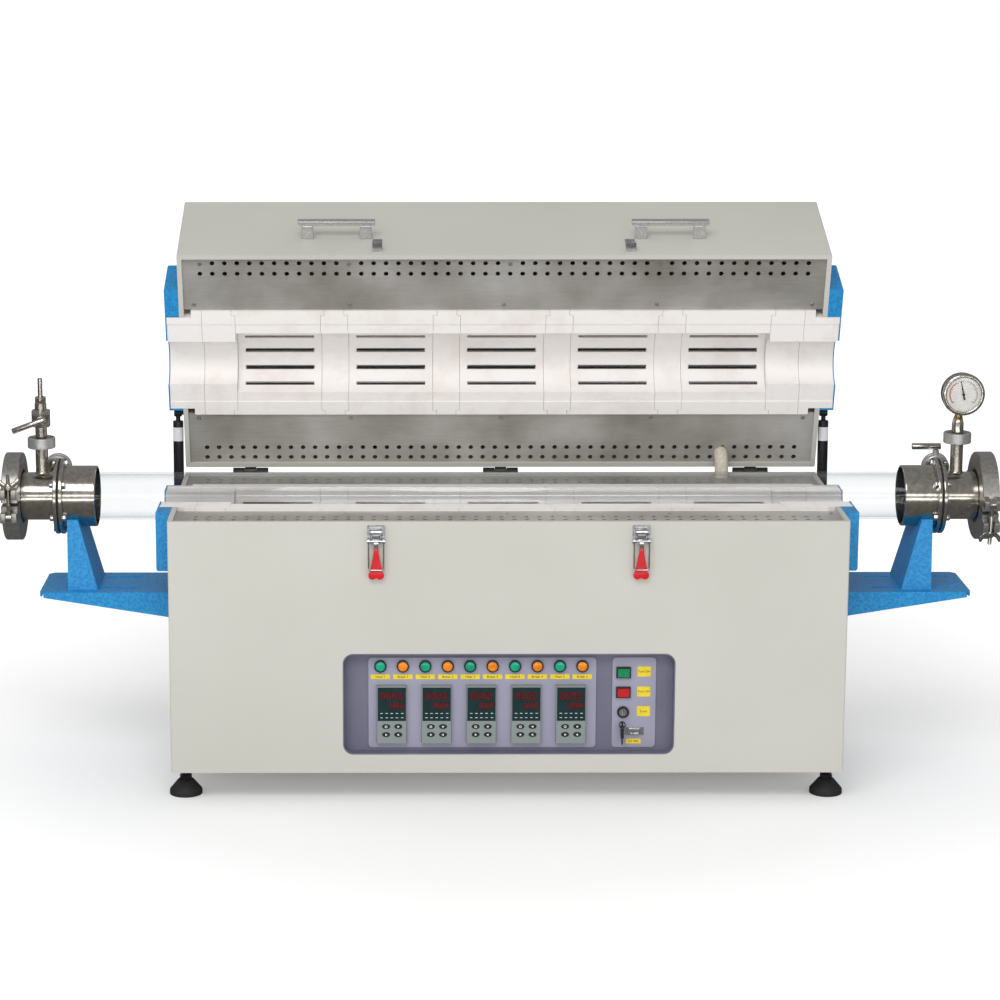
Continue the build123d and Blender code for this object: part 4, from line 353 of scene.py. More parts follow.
rows = ((0.1015, 0.133, None), (0.133, 0.155, 0.144), (0.155, 0.177, 0.166), (0.177, 0.197, None))
shape = punched(rows, -0.5175, 0.0207, 0.4655, -0.0015, left_out=[(1, 0.177, 43)])
bmesh.ops.recalc_face_normals(shape, faces=shape.faces)
punched_deck = finished(shape, "punched_deck", [sheet_steel], smooth=False)
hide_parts("deck_sheets")
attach(punched_deck, "base")

# The lid's sheet is punched the same way and folded round the lining, so trough
# and sheets are one piece. It is drawn shut and turned up with the lid.
lid_angle = 71
hinge = (0, 0.213, 0.471)


def turned_up(shape):
    """Turn what is drawn on the shut lid up about the hinge."""
    opened = Matrix.Rotation(math.radians(-lid_angle), 3, "X")
    bmesh.ops.rotate(shape, verts=shape.verts, cent=hinge, matrix=opened)


def block(shape, size, place):
    """Add a box about its middle and give its corners."""
    corners = bmesh.ops.create_cube(shape, size=1)["verts"]
    bmesh.ops.scale(shape, verts=corners, vec=size)
    bmesh.ops.translate(shape, verts=corners, vec=place)
    return corners


rows = ((0.1015, 0.158, None), (0.158, 0.178, 0.168), (0.178, 0.197, 0.1875))
screwed = [(-1, 0.178, i) for i in (0, 12, 25, 37)]
shape = punched(rows, -0.5225, 0.0209, 0.4765, 0.0015, plain=screwed)
for y, z, depth, height in (
    (-0.10075, 0.52675, 0.0015, 0.0975), (0.10075, 0.52675, 0.0015, 0.0975),
    (0, 0.57625, 0.203, 0.0015),
):
    block(shape, (1.083, depth, height), (0, y, z))
bmesh.ops.recalc_face_normals(shape, faces=shape.faces)
turned_up(shape)
punched_lid_sheet = finished(shape, "punched_lid_sheet", [sheet_steel], smooth=False)
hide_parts("lid_sheets")
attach(punched_lid_sheet, "lid")

# Pan-head screws hold the sheets to the casing, small and nearly flush.
for label, body, places, height, facing in (
    (
        "deck_screws",
        "base",
        [(x, y) for x in (-0.53, -0.265, 0, 0.265, 0.53) for y in (-0.122, 0.122)],
        0.4655,
        1,
    ),
    (
        "lid_screws",
        "lid",
        [(x, y) for x in (-0.524, -0.26, 0, 0.26, 0.523) for y in (-0.11, 0.11)]
        + [(x, -0.186) for x in (-0.512, -0.2613, 0.0104, 0.2613)],
        0.4765,
        -1,
    ),
):
    shape = bmesh.new()
    for x, y in places:
        for radius, rise in ((0.0036, 0.0012), (0.0026, 0.0019)):
            head = bmesh.ops.create_cone(
                shape, cap_ends=True, segments=16, radius1=radius, radius2=radius * 0.75, depth=rise
            )["verts"]
            if facing < 0:
                bmesh.ops.rotate(shape, verts=head, matrix=Matrix.Rotation(math.pi, 3, "X"))
            bmesh.ops.translate(shape, verts=head, vec=(x, y, height + facing * rise / 2))
    if body == "lid":
        turned_up(shape)
    screws = finished(shape, label, [finishes["cast stainless"]], smooth=False)
    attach(screws, body)

# Each slot holds one close-wound coil of heating wire, laid along the bore.
bore_radius = 0.057
slot_depth = 0.007
coil_radius = 0.0024
coil_turns = 44
turn_steps = 10


def skinned(shape, rings):
    """Close a row of rings into one solid skin with both ends capped."""
    for near, far in zip(rings, rings[1:]):
        for k in range(len(near)):
            shape.faces.new((near[k - 1], near[k], far[k], far[k - 1]))
    shape.faces.new(rings[0])
    shape.faces.new(rings[-1])


for label, body, node in (
    ("wound_base_coils", "base", "base_heating_coils"),
    ("wound_lid_coils", "lid", "lid_heating_coils"),
):
    shape = bmesh.new()
    for module in range(5):
        for slot in range(5):
            angle = math.radians(-56 + 30 * slot)
            radius = bore_radius + slot_depth - 0.0032 - 0.0002
            outward = Vector((0, math.sin(angle), -math.cos(angle)))
            along = Vector((0, math.cos(angle), math.sin(angle)))
            rings = []
            for k in range(coil_turns * turn_steps + 1):
                phase = 2 * math.pi * k / turn_steps
                x = -0.383 + 0.1915 * module - 0.0585 + 0.117 * k / (coil_turns * turn_steps)
                radial = outward * math.cos(phase) + along * math.sin(phase)
                core = Vector((x, 0, 0.471)) + outward * radius + radial * coil_radius
                rings.append(
                    [
                        shape.verts.new(core + radial * u + Vector((w, 0, 0)))
                        for u, w in ((0.0007, 0), (0, 0.0008), (-0.0007, 0), (0, -0.0008))
                    ]
                )
            skinned(shape, rings)
    bmesh.ops.recalc_face_normals(shape, faces=shape.faces)
    if body == "lid":
        bmesh.ops.scale(
            shape, verts=shape.verts, vec=(1, 1, -1), space=Matrix.Translation((0, 0, -0.471))
        )
        bmesh.ops.reverse_faces(shape, faces=shape.faces)
        turned_up(shape)
    coils = finished(shape, label, [wire])
    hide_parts(node)
    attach(coils, body)

# The work tube is drawn quartz, open at both ends, its rims fire polished.
tube_z = 0.471
tube_x = -0.009


def revolved(shape, line, cent, axis, steps, closed=True):
    """Turn a line of points all round an axis, as a lathe does."""
    points = [shape.verts.new(place) for place in line]
    first = 0 if closed else 1
    edges = [shape.edges.new((points[i - 1], points[i])) for i in range(first, len(points))]
    bmesh.ops.spin(
        shape,
        geom=points + edges,
        cent=cent,
        axis=axis,
        angle=2 * math.pi,
        steps=steps,
        use_merge=True,
    )


section = (
    (-0.749, 0.0375), (-0.749, 0.0390), (-0.748, 0.0400), (0.730, 0.0400), (0.731, 0.0390),
    (0.731, 0.0375), (0.730, 0.0365), (-0.748, 0.0365),
)
shape = bmesh.new()
line = [(x, 0, tube_z + r) for x, r in section]
revolved(shape, line, (0, 0, tube_z), (1, 0, 0), 96)
bmesh.ops.remove_doubles(shape, verts=shape.verts, dist=0.000001)
bmesh.ops.recalc_face_normals(shape, faces=shape.faces)
if shape.calc_volume(signed=True) < 0:
    bmesh.ops.reverse_faces(shape, faces=shape.faces)
drawn_tube = finished(shape, "drawn_tube", [quartz], sharp=50)
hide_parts("quartz_tube")
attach(drawn_tube, "base")

# ------------------------------------------------------------ control panel
# Controller fronts: a dark glass window with two unlit displays, two rows of
# indicator marks and four oval rubber keys below.
lane_pitch = 0.0732
first_lane = -0.189
forward = Matrix.Rotation(math.pi / 2, 3, "X")
shape = bmesh.new()
for i in range(5):
    cx = first_lane + lane_pitch * i
    cz = 0.1455
    blocks = [(0.0002, 0.0182, 0.046, 0.0564, 0.0004, 0)]
    blocks += [(-0.0003, 0.0324, 0.0376, 0.0131, 0.0005, 1)]
    blocks += [(0.0075, 0.0159, 0.025, 0.0115, 0.0005, 1)]
    blocks += [
        (u, w, 0.0040, 0.0009, 0.0005, 2)
        for u in (-0.0165, -0.0081, 0.0002, 0.0086, 0.0174)
        for w in (0.0028, -0.0045)
    ]
    for start, pitch, base_line, wide, tall in (
        (-0.0140, 0.0092, 0.0324, 0.0056, 0.0096), (-0.0015, 0.0060, 0.0159, 0.0038, 0.0074),
    ):
        for digit in range(4):
            u = start + pitch * digit
            for w in (-tall / 2, 0, tall / 2):
                blocks.append((u, base_line + w, wide * 0.8, 0.0007, 0.0006, 3))
            for side in (-1, 1):
                for half in (-1, 1):
                    stroke = (u + side * wide / 2, base_line + half * tall / 4)
                    blocks.append((*stroke, 0.0007, tall * 0.42, 0.0006, 3))
    for u, w, wide, tall, thick, slot in blocks:
        box = block(shape, (wide, thick, tall), (cx + u, -0.196 - thick / 2, cz + w))
        for face in {f for v in box for f in v.link_faces}:
            face.material_index = slot
    for u, w, kind in (
        (-0.0092, -0.0196, "ring"), (0.0107, -0.0196, 180),
        (-0.0092, -0.0332, 270), (0.0107, -0.0332, 90),
    ):
        key = bmesh.ops.create_cone(
            shape, cap_ends=True, segments=32, radius1=0.5, radius2=0.42, depth=1
        )["verts"]
        bmesh.ops.rotate(shape, verts=key, matrix=forward)
        bmesh.ops.scale(shape, verts=key, vec=(0.0132, 0.0012, 0.0084))
        bmesh.ops.translate(shape, verts=key, vec=(cx + u, -0.1966, cz + w))
        for face in {f for v in key for f in v.link_faces}:
            face.material_index = 4
        if kind == "ring":
            outer = bmesh.ops.create_circle(shape, segments=20, radius=0.0022)["verts"]
            inner = bmesh.ops.create_circle(shape, segments=20, radius=0.0012)["verts"]
            hoop = [
                shape.faces.new((outer[k], outer[k - 19], inner[k - 19], inner[k]))
                for k in range(20)
            ]
            verts = outer + inner
        else:
            verts = bmesh.ops.create_circle(shape, cap_ends=True, segments=3, radius=0.0024)["verts"]
            turn = Matrix.Rotation(math.radians(kind), 3, "Z")
            bmesh.ops.rotate(shape, verts=verts, matrix=turn)
            hoop = {f for v in verts for f in v.link_faces}
        bmesh.ops.rotate(shape, verts=verts, matrix=forward)
        bmesh.ops.translate(shape, verts=verts, vec=(cx + u, -0.19728, cz + w))
        for face in hoop:
            face.material_index = 2
digits = finishes["dark red digits"]
unlit = digits.copy()
unlit.name = "display window"
stops = unlit.node_tree.nodes["Color Ramp"].color_ramp.elements
stops[0].color = (0.030, 0.008, 0.009, 1)
stops[1].color = (0.045, 0.011, 0.012, 1)
surfaces = [finishes["dark screen"], unlit, finishes["white print"], digits, finishes["black rubber"]]
controller_fronts = finished(shape, "controller_fronts", surfaces, smooth=False)
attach(controller_fronts, "base")

# Yellow engraved labels stuck under the lamps and beside the buttons, with
# plain words and numbers.
labels = []
for i in range(5):
    labels.append((f"Heat {i + 1}", -0.2073 + lane_pitch * i, 0.2077, 0.0318, 0.008, 0.0058))
    labels.append((f"Break {i + 1}", -0.1707 + lane_pitch * i, 0.2077, 0.0318, 0.008, 0.0058))
labels.append(("Turn ON", 0.223, 0.2163, 0.0217, 0.017, 0.0052))
labels.append(("Turn OFF", 0.223, 0.1825, 0.0217, 0.017, 0.0050))
labels.append(("Lock", 0.223, 0.1491, 0.0217, 0.017, 0.0056))
labels.append(("RS 485", 0.207, 0.0983, 0.0246, 0.008, 0.0056))
shape = bmesh.new()
for words, x, z, wide, tall, size in labels:
    block(shape, (wide, 0.0006, tall), (x, -0.1873, z))
    text = bpy.data.curves.new("words", "FONT")
    text.body = words
    text.size = size
    text.align_x = "CENTER"
    text.align_y = "CENTER"
    text.resolution_u = 3
    text.extrude = 0.00005
    holder = bpy.data.objects.new("words", text)
    bpy.context.collection.objects.link(holder)
    view = bpy.context.evaluated_depsgraph_get()
    letters = bpy.data.meshes.new_from_object(holder.evaluated_get(view))
    bpy.data.objects.remove(holder)
    bpy.data.curves.remove(text)
    letters.transform(Matrix.Translation((x, -0.18765, z)) @ forward.to_4x4())
    count = len(shape.faces)
    shape.from_mesh(letters)
    bpy.data.meshes.remove(letters)
    shape.faces.ensure_lookup_table()
    for face in shape.faces[count:]:
        face.material_index = 1
panel_labels = finished(
    shape, "panel_labels", [finishes["yellow label"], finishes["black print"]], smooth=False
)
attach(panel_labels, "base")

# ------------------------------------------------------------ vacuum flanges
# Inner flanges: a turned stainless sleeve round the tube with a plate at its
# outer end. Edges are rounded off after turning and polished.
for label, slot, surface, node, section in (
    (
        "turned_sleeves",
        "stainless",
        "polished stainless",
        "flange_sleeves",
        (
            (0.6730, 0.0470), (0.6730, 0.0493), (0.6735, 0.0503), (0.6745, 0.0509),
            (0.6760, 0.0510), (0.7270, 0.0510), (0.7270, 0.0627), (0.7274, 0.0633),
            (0.7280, 0.0635), (0.7320, 0.0635), (0.7326, 0.0633), (0.7330, 0.0627),
            (0.7330, 0.0403), (0.7270, 0.0403), (0.7270, 0.0470),
        ),
    ),
    (
        "moulded_seals",
        "black_rubber",
        "black rubber",
        "flange_seals",
        (
            (0.7330, 0.0403), (0.7330, 0.0612), (0.7336, 0.0620), (0.7354, 0.0620),
            (0.7360, 0.0612), (0.7360, 0.0403),
        ),
    ),
    (
        "turned_caps",
        "stainless",
        "polished stainless",
        "end_caps",
        (
            (0.8100, 0.0000), (0.8100, 0.0480), (0.8115, 0.0480), (0.8115, 0.0512),
            (0.8121, 0.0520), (0.8188, 0.0520), (0.8195, 0.0512), (0.8195, 0.0000),
        ),
    ),
):
    shape = bmesh.new()
    for side in (1, -1):
        line = [(tube_x + side * x, 0, tube_z + r) for x, r in section]
        revolved(shape, line, (0, 0, tube_z), (1, 0, 0), 96)
    bmesh.ops.remove_doubles(shape, verts=shape.verts, dist=0.000001)
    bmesh.ops.recalc_face_normals(shape, faces=shape.faces)
    turned = finished(shape, label, [finishes[surface]], sharp=38)
    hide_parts(node)
    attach(turned, "base")

# Outer flanges: plate, body and clamping rim turned as one, with two ports of
# pipe welded in, each ending in a small vacuum flange.
shape = bmesh.new()
for side, rise in ((1, 0.099), (-1, 0.0915)):
    section = (
        (0.7360, 0.0403), (0.7360, 0.0627), (0.7364, 0.0633), (0.7370, 0.0635),
        (0.7410, 0.0635), (0.7416, 0.0633), (0.7420, 0.0627), (0.7420, 0.0412),
        (0.7426, 0.0403), (0.7440, 0.0400), (0.8030, 0.0400), (0.8030, 0.0513),
        (0.8037, 0.0520), (0.8093, 0.0520), (0.8100, 0.0513), (0.8100, 0.0365),
        (0.7410, 0.0365), (0.7410, 0.0403),
    )
    line = [(tube_x + side * x, 0, tube_z + r) for x, r in section]
    revolved(shape, line, (0, 0, tube_z), (1, 0, 0), 96)
    for x, tilt, length in ((0.765, 0, rise - 0.0003), (0.753, 78, 0.115)):
        port = [
            (0.0385, 0.0135), (0.0396, 0.0120), (0.0420, 0.0107), (0.0450, 0.0105),
            (length - 0.0052, 0.0105), (length - 0.0040, 0.0118), (length - 0.0040, 0.0194),
            (length - 0.0034, 0.0200), (length, 0.0200), (length, 0.0085), (0.0385, 0.0085),
        ]
        lean = Matrix.Rotation(math.radians(-tilt), 3, "X")
        foot = Vector((tube_x + side * x, 0, tube_z))
        line = [foot + lean @ Vector((r, 0, h)) for h, r in port]
        revolved(shape, line, foot, lean @ Vector((0, 0, 1)), 48)
bmesh.ops.remove_doubles(shape, verts=shape.verts, dist=0.000001)
bmesh.ops.recalc_face_normals(shape, faces=shape.faces)
turned_bodies = finished(shape, "turned_bodies", [finishes["polished stainless"]], sharp=38)
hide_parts("flange_bodies")
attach(turned_bodies, "base")

# Six round-headed bolts a side through the flange plates, with plain hexagon
# nuts behind.


def round_bar(shape, radius, length, sides, place, across=False):
    """Add a bar about its middle, upright or across, and give its corners."""
    corners = bmesh.ops.create_cone(
        shape, cap_ends=True, segments=sides, radius1=radius, radius2=radius, depth=length
    )["verts"]
    if across:
        bmesh.ops.rotate(shape, verts=corners, matrix=Matrix.Rotation(math.pi / 2, 3, "Y"))
    bmesh.ops.translate(shape, verts=corners, vec=place)
    return corners


def edges_at(corners):
    """Give all edges that meet at the corners."""
    return {e for v in corners for e in v.link_edges}


def rims_at(corners):
    """Give the edges that run round the ends of a bar."""
    return {e for e in edges_at(corners) if e.is_manifold and e.calc_face_angle() > 1.3}


def softened(shape, edges, offset, segments):
    """Round edges off as casting, pressing or a file leaves them."""
    bmesh.ops.bevel(
        shape,
        geom=list(edges),
        offset=offset,
        segments=segments,
        profile=0.5,
        affect="EDGES",
        material=-1,
    )


shape = bmesh.new()
for side in (1, -1):
    for i in range(6):
        angle = math.radians(90 + 60 * i)
        y = 0.056 * math.cos(angle)
        z = tube_z + 0.056 * math.sin(angle)
        for start, length, radius, segments, round_edge in (
            (0.7420, 0.0060, 0.0050, 32, 0.0007), (0.7270, -0.0048, 0.0050, 6, 0.0004),
            (0.7285, 0.0130, 0.0029, 16, 0), (0.7222, -0.0010, 0.0030, 16, 0.0003),
        ):
            place = (tube_x + side * (start + length / 2), y, z)
            barrel = round_bar(shape, radius, abs(length), segments, place, across=True)
            if round_edge:
                softened(shape, rims_at(barrel), round_edge, 2)
bmesh.ops.recalc_face_normals(shape, faces=shape.faces)
socket_bolts = finished(shape, "socket_bolts", [finishes["bright zinc plate"]], sharp=38)
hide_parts("flange_bolts")
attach(socket_bolts, "base")

# ------------------------------------------------------------ clamps
# Each end clamp is two cast halves, hinged at the rear and drawn together by a
# swing bolt in front. The small port clamps are plain aluminium hoops.
shape = bmesh.new()
for side, tilt in ((1, 12), (-1, 0)):
    for half in (1, -1):
        section = (
            (0.7975, 0.0452), (0.7975, 0.0722), (0.7988, 0.0735), (0.8242, 0.0735),
            (0.8255, 0.0722), (0.8255, 0.0452), (0.8198, 0.0452), (0.8198, 0.0523),
            (0.8027, 0.0523), (0.8027, 0.0452),
        )
        low = math.asin(0.002 / 0.05)
        points = [
            shape.verts.new((tube_x + side * x, r * math.cos(low), half * r * math.sin(low)))
            for x, r in section
        ]
        edges = [shape.edges.new((points[i - 1], points[i])) for i in range(len(points))]
        shape.faces.new(points)
        turned = bmesh.ops.spin(
            shape,
            geom=points + edges,
            cent=(0, 0, 0),
            axis=(1, 0, 0),
            angle=half * (math.pi - 2 * low),
            steps=40,
        )
        bmesh.ops.contextual_create(
            shape, geom=[e for e in turned["geom_last"] if isinstance(e, bmesh.types.BMEdge)]
        )
        for x, y, z, wide, deep, high in (
            (0.80225, -0.0805, 0.0195, 0.0095, 0.023, 0.017),
            (0.82075, -0.0805, 0.0195, 0.0095, 0.023, 0.017),
            (0.8115, 0.0700, 0.0075, 0.0280, 0.019, 0.0105),
        ):
            lug = block(shape, (wide, deep, high), (tube_x + side * x, y, half * z))
            softened(shape, edges_at(lug), 0.0016, 3)
    pin_place = (tube_x + side * 0.8115, -0.083, -0.0195)
    round_bar(shape, 0.003, 0.028, 20, pin_place, across=True)
    if side > 0:
        own = [v for v in shape.verts if v.co.x > 0]
        bmesh.ops.scale(shape, verts=own, vec=(1, 1, -1))
        bmesh.ops.rotate(shape, verts=own, matrix=Matrix.Rotation(math.radians(tilt), 3, "X"))
bmesh.ops.translate(shape, verts=shape.verts, vec=(0, 0, tube_z))
bmesh.ops.recalc_face_normals(shape, faces=shape.faces)
for x, y, z in ((0.756, 0, 0.570), (-0.774, 0, 0.5625)):
    section = (
        (-0.0090, 0.0203), (-0.0090, 0.0218), (-0.0080, 0.0230), (0.0080, 0.0230),
        (0.0090, 0.0218), (0.0090, 0.0203),
    )
    line = [(x + r, y, z + h) for h, r in section]
    revolved(shape, line, (x, y, z), (0, 0, 1), 64)
bmesh.ops.remove_doubles(shape, verts=shape.verts, dist=0.000001)
bmesh.ops.recalc_face_normals(shape, faces=shape.faces)
for face in shape.faces:
    if abs(face.calc_center_median().z - 0.566) < 0.02:
        face.material_index = 1
cast_clamps = finished(
    shape, "cast_clamps", [finishes["cast stainless"], finishes["satin aluminium"]], sharp=38
)
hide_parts("clamp_rings")
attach(cast_clamps, "base")

# ------------------------------------------------------------ valves and gauge
# Stainless gas fittings, turned and welded: on the left a ball valve with a
# hose nozzle, behind it a blanked port, and a closed port valve at the right.
shape = bmesh.new()
rear = Matrix.Rotation(math.radians(-78), 3, "X")
upright = Matrix.Identity(3)
blank = (
    (0, 0), (0, 0.0216), (0.0014, 0.0230), (0.0070, 0.0230), (0.0076, 0.0224), (0.0104, 0.0224),
    (0.0110, 0.0230), (0.0166, 0.0230), (0.0180, 0.0216), (0.0180, 0.0190), (0.0170, 0.0180),
    (0.0170, 0),
)
for origin, turn, segments, section in (
    (
        (-0.774, 0, 0.5628),
        upright,
        48,
        (
            (0, 0), (0, 0.0194), (0.0006, 0.0200), (0.0034, 0.0200), (0.0040, 0.0194),
            (0.0040, 0.0110), (0.0052, 0.0098), (0.0280, 0.0098), (0.0280, 0.0090),
            (0.0540, 0.0090), (0.0540, 0.0098), (0.0660, 0.0098), (0.0668, 0.0090), (0.0668, 0),
        ),
    ),
    (
        (-0.774, 0, 0.5628),
        upright,
        32,
        (
            (0.0760, 0), (0.0760, 0.0064), (0.0775, 0.0064), (0.0782, 0.0040), (0.1070, 0.0040),
            (0.1077, 0.0034), (0.1077, 0.0025), (0.0790, 0.0025), (0.0790, 0),
        ),
    ),
    ((-0.762, 0.112487, 0.494910), rear, 64, blank),
    ((0.744, 0.112487, 0.494910), rear, 64, blank),
    (
        (0.744, 0.12129, 0.5150),
        upright,
        32,
        (
            (0, 0), (0, 0.0055), (0.0096, 0.0055), (0.0104, 0.0047), (0.0104, 0.0037),
            (0.0060, 0.0037), (0.0060, 0),
        ),
    ),
    (
        (-0.771, -0.0120, 0.6035),
        forward,
        32,
        (
            (0, 0), (0, 0.0075), (0.0092, 0.0075), (0.0100, 0.0067), (0.0100, 0.0037),
            (0.0060, 0.0037), (0.0060, 0),
        ),
    ),
):
    foot = Vector(origin)
    line = [foot + turn @ Vector((r, 0, h)) for h, r in section]
    revolved(shape, line, foot, turn @ Vector((0, 0, 1)), segments, closed=False)
bmesh.ops.remove_doubles(shape, verts=shape.verts, dist=0.000005)
for z, tall, radius in ((0.6035, 0.0280, 0.0168), (0.6345, 0.0100, 0.0099)):
    hexagon = round_bar(shape, radius, tall, 6, (-0.774, 0, z))
    softened(shape, edges_at(hexagon), 0.0009, 3)
bmesh.ops.recalc_face_normals(shape, faces=shape.faces)
for face in shape.faces:
    if face.calc_center_median().y > 0.1:
        face.material_index = 1
turned_valves = finished(
    shape, "turned_valves", [finishes["polished stainless"], finishes["satin aluminium"]], sharp=35
)
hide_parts("valve_bodies")
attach(turned_valves, "base")

# Each valve is worked by a plain round bar pressed through its stem.
for label, body, hub, stem_turn, stem, bar, bar_turn, radius, length in (
    (
        "gas_lever_bar",
        "gas_valve_lever",
        (-0.771, -0.0295, 0.6035),
        Matrix.Rotation(-math.pi / 2, 3, "X"),
        0.0205,
        (-0.765362, -0.030, 0.605552),
        Matrix.Rotation(math.radians(-110), 3, "Y"),
        0.0048,
        0.0560,
    ),
    (
        "rear_lever_bar",
        "rear_valve_lever",
        (0.744, 0.12129, 0.5320),
        Matrix.Rotation(math.pi, 3, "X"),
        0.0120,
        (0.752, 0.12129, 0.53191),
        Matrix.Rotation(math.radians(-90), 3, "Y"),
        0.0055,
        0.0490,
    ),
):
    shape = bmesh.new()
    done = set()
    for start, turn, thick, long, edge in (
        (hub, stem_turn, 0.0035, stem, 0),
        (bar, bar_turn, radius, length, 0.0006),
    ):
        bar_piece = round_bar(shape, thick, long, 40, (0, 0, long / 2))
        if edge:
            softened(shape, rims_at(bar_piece), edge, 2)
        own = [v for v in shape.verts if v not in done]
        bmesh.ops.rotate(shape, verts=own, matrix=turn)
        bmesh.ops.translate(shape, verts=own, vec=start)
        done = set(shape.verts)
    lever_bar = finished(shape, label, [finishes["polished stainless"]], sharp=35)
    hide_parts(body)
    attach(lever_bar, body)

# Vacuum gauge: a rolled steel case with a polished bezel, screwed by a brass
# nipple into a pipe with a small vacuum flange.
shape = bmesh.new()
for origin, turn, segments, section in (
    (
        (0.756, 0, 0.5703),
        upright,
        48,
        (
            (0, 0), (0, 0.0194), (0.0006, 0.0200), (0.0034, 0.0200), (0.0040, 0.0194),
            (0.0040, 0.0110), (0.0052, 0.0098), (0.0230, 0.0098), (0.0300, 0.0084),
            (0.0320, 0.0080), (0.0320, 0),
        ),
    ),
    (
        (0.7595, -0.026, 0.646),
        Matrix.Rotation(-math.pi / 2, 3, "X"),
        96,
        (
            (0.0050, 0.0290), (0.0010, 0.0290), (0.0002, 0.0298), (0, 0.0308), (0.0004, 0.0330),
            (0.0018, 0.0347), (0.0040, 0.0354), (0.0070, 0.0355), (0.0082, 0.0348),
            (0.0082, 0.0338), (0.0270, 0.0338), (0.0292, 0.0328), (0.0300, 0.0306), (0.0300, 0),
        ),
    ),
):
    foot = Vector(origin)
    line = [foot + turn @ Vector((r, 0, h)) for h, r in section]
    revolved(shape, line, foot, turn @ Vector((0, 0, 1)), segments, closed=False)
bmesh.ops.remove_doubles(shape, verts=shape.verts, dist=0.000005)
bmesh.ops.recalc_face_normals(shape, faces=shape.faces)
steel_faces = len(shape.faces)
for z, radius, tall, sides in ((0.6040, 0.0076, 0.0050, 6), (0.6090, 0.0062, 0.0070, 32)):
    round_bar(shape, radius, tall, sides, (0.756, -0.003, z))
for face in shape.faces:
    face.material_index = int(face.index >= steel_faces or face.index < 0)
rolled_gauge = finished(
    shape, "rolled_gauge", [finishes["polished stainless"], finishes["brass"]], sharp=35
)
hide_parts("gauge_case")
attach(rolled_gauge, "base")

# The dial is a white enamelled disc, printed with a fine scale over three
# quarters of a turn and a red vacuum arc at the left.
dial_x = 0.7595
dial_z = 0.646
shape = bmesh.new()
disc = bmesh.ops.create_circle(shape, cap_ends=True, segments=64, radius=0.0291)["verts"]
bmesh.ops.rotate(shape, verts=disc, matrix=forward)
bmesh.ops.translate(shape, verts=disc, vec=(dial_x, -0.0211, dial_z))
for low, high, inner, outer, ink in ((121, 219, 0.0220, 0.0235, 1), (-39, 121, 0.0228, 0.0234, 2)):
    steps = round((high - low) / 4)
    loop = []
    for k in range(steps + 1):
        angle = math.radians(low + (high - low) * k / steps)
        for r in (inner, outer):
            place = (dial_x + r * math.cos(angle), -0.02125, dial_z + r * math.sin(angle))
            loop.append(shape.verts.new(place))
    for k in range(steps):
        arc = shape.faces.new((loop[2 * k], loop[2 * k + 1], loop[2 * k + 3], loop[2 * k + 2]))
        arc.material_index = ink
for k in range(53):
    angle = math.radians(-39 + 258 * k / 52)
    long = 0.0032 if k % 13 == 0 else 0.0014
    wide = 0.00022 if k % 13 else 0.0004
    along = Vector((math.cos(angle), 0, math.sin(angle)))
    across = Vector((-math.sin(angle), 0, math.cos(angle))) * wide
    root = Vector((dial_x, -0.0213, dial_z)) + along * 0.0222
    tip = root - along * long
    corners = (root - across, root + across, tip + across, tip - across)
    tick = shape.faces.new([shape.verts.new(corner) for corner in corners])
    tick.material_index = 2
bmesh.ops.recalc_face_normals(shape, faces=shape.faces)
for face in shape.faces:
    if face.normal.y > 0:
        face.normal_flip()
inks = [finishes[name] for name in ("dial white", "red dipped plastic", "black print")]
printed_dial = finished(shape, "printed_dial", inks, smooth=False)
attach(printed_dial, "base")

# ------------------------------------------------------------ swing bolts
# Each clamp closes with an eye bolt on a pin and a cast wing nut. The threads
# are rolled on the upper two thirds of the shank.


def outline_at(corners):
    """Give the edges round the front and back of a blade that faces Y."""
    around = [e for e in edges_at(corners) if e.is_manifold]
    return [e for e in around if abs(e.verts[0].co.y - e.verts[1].co.y) < 0.0001]


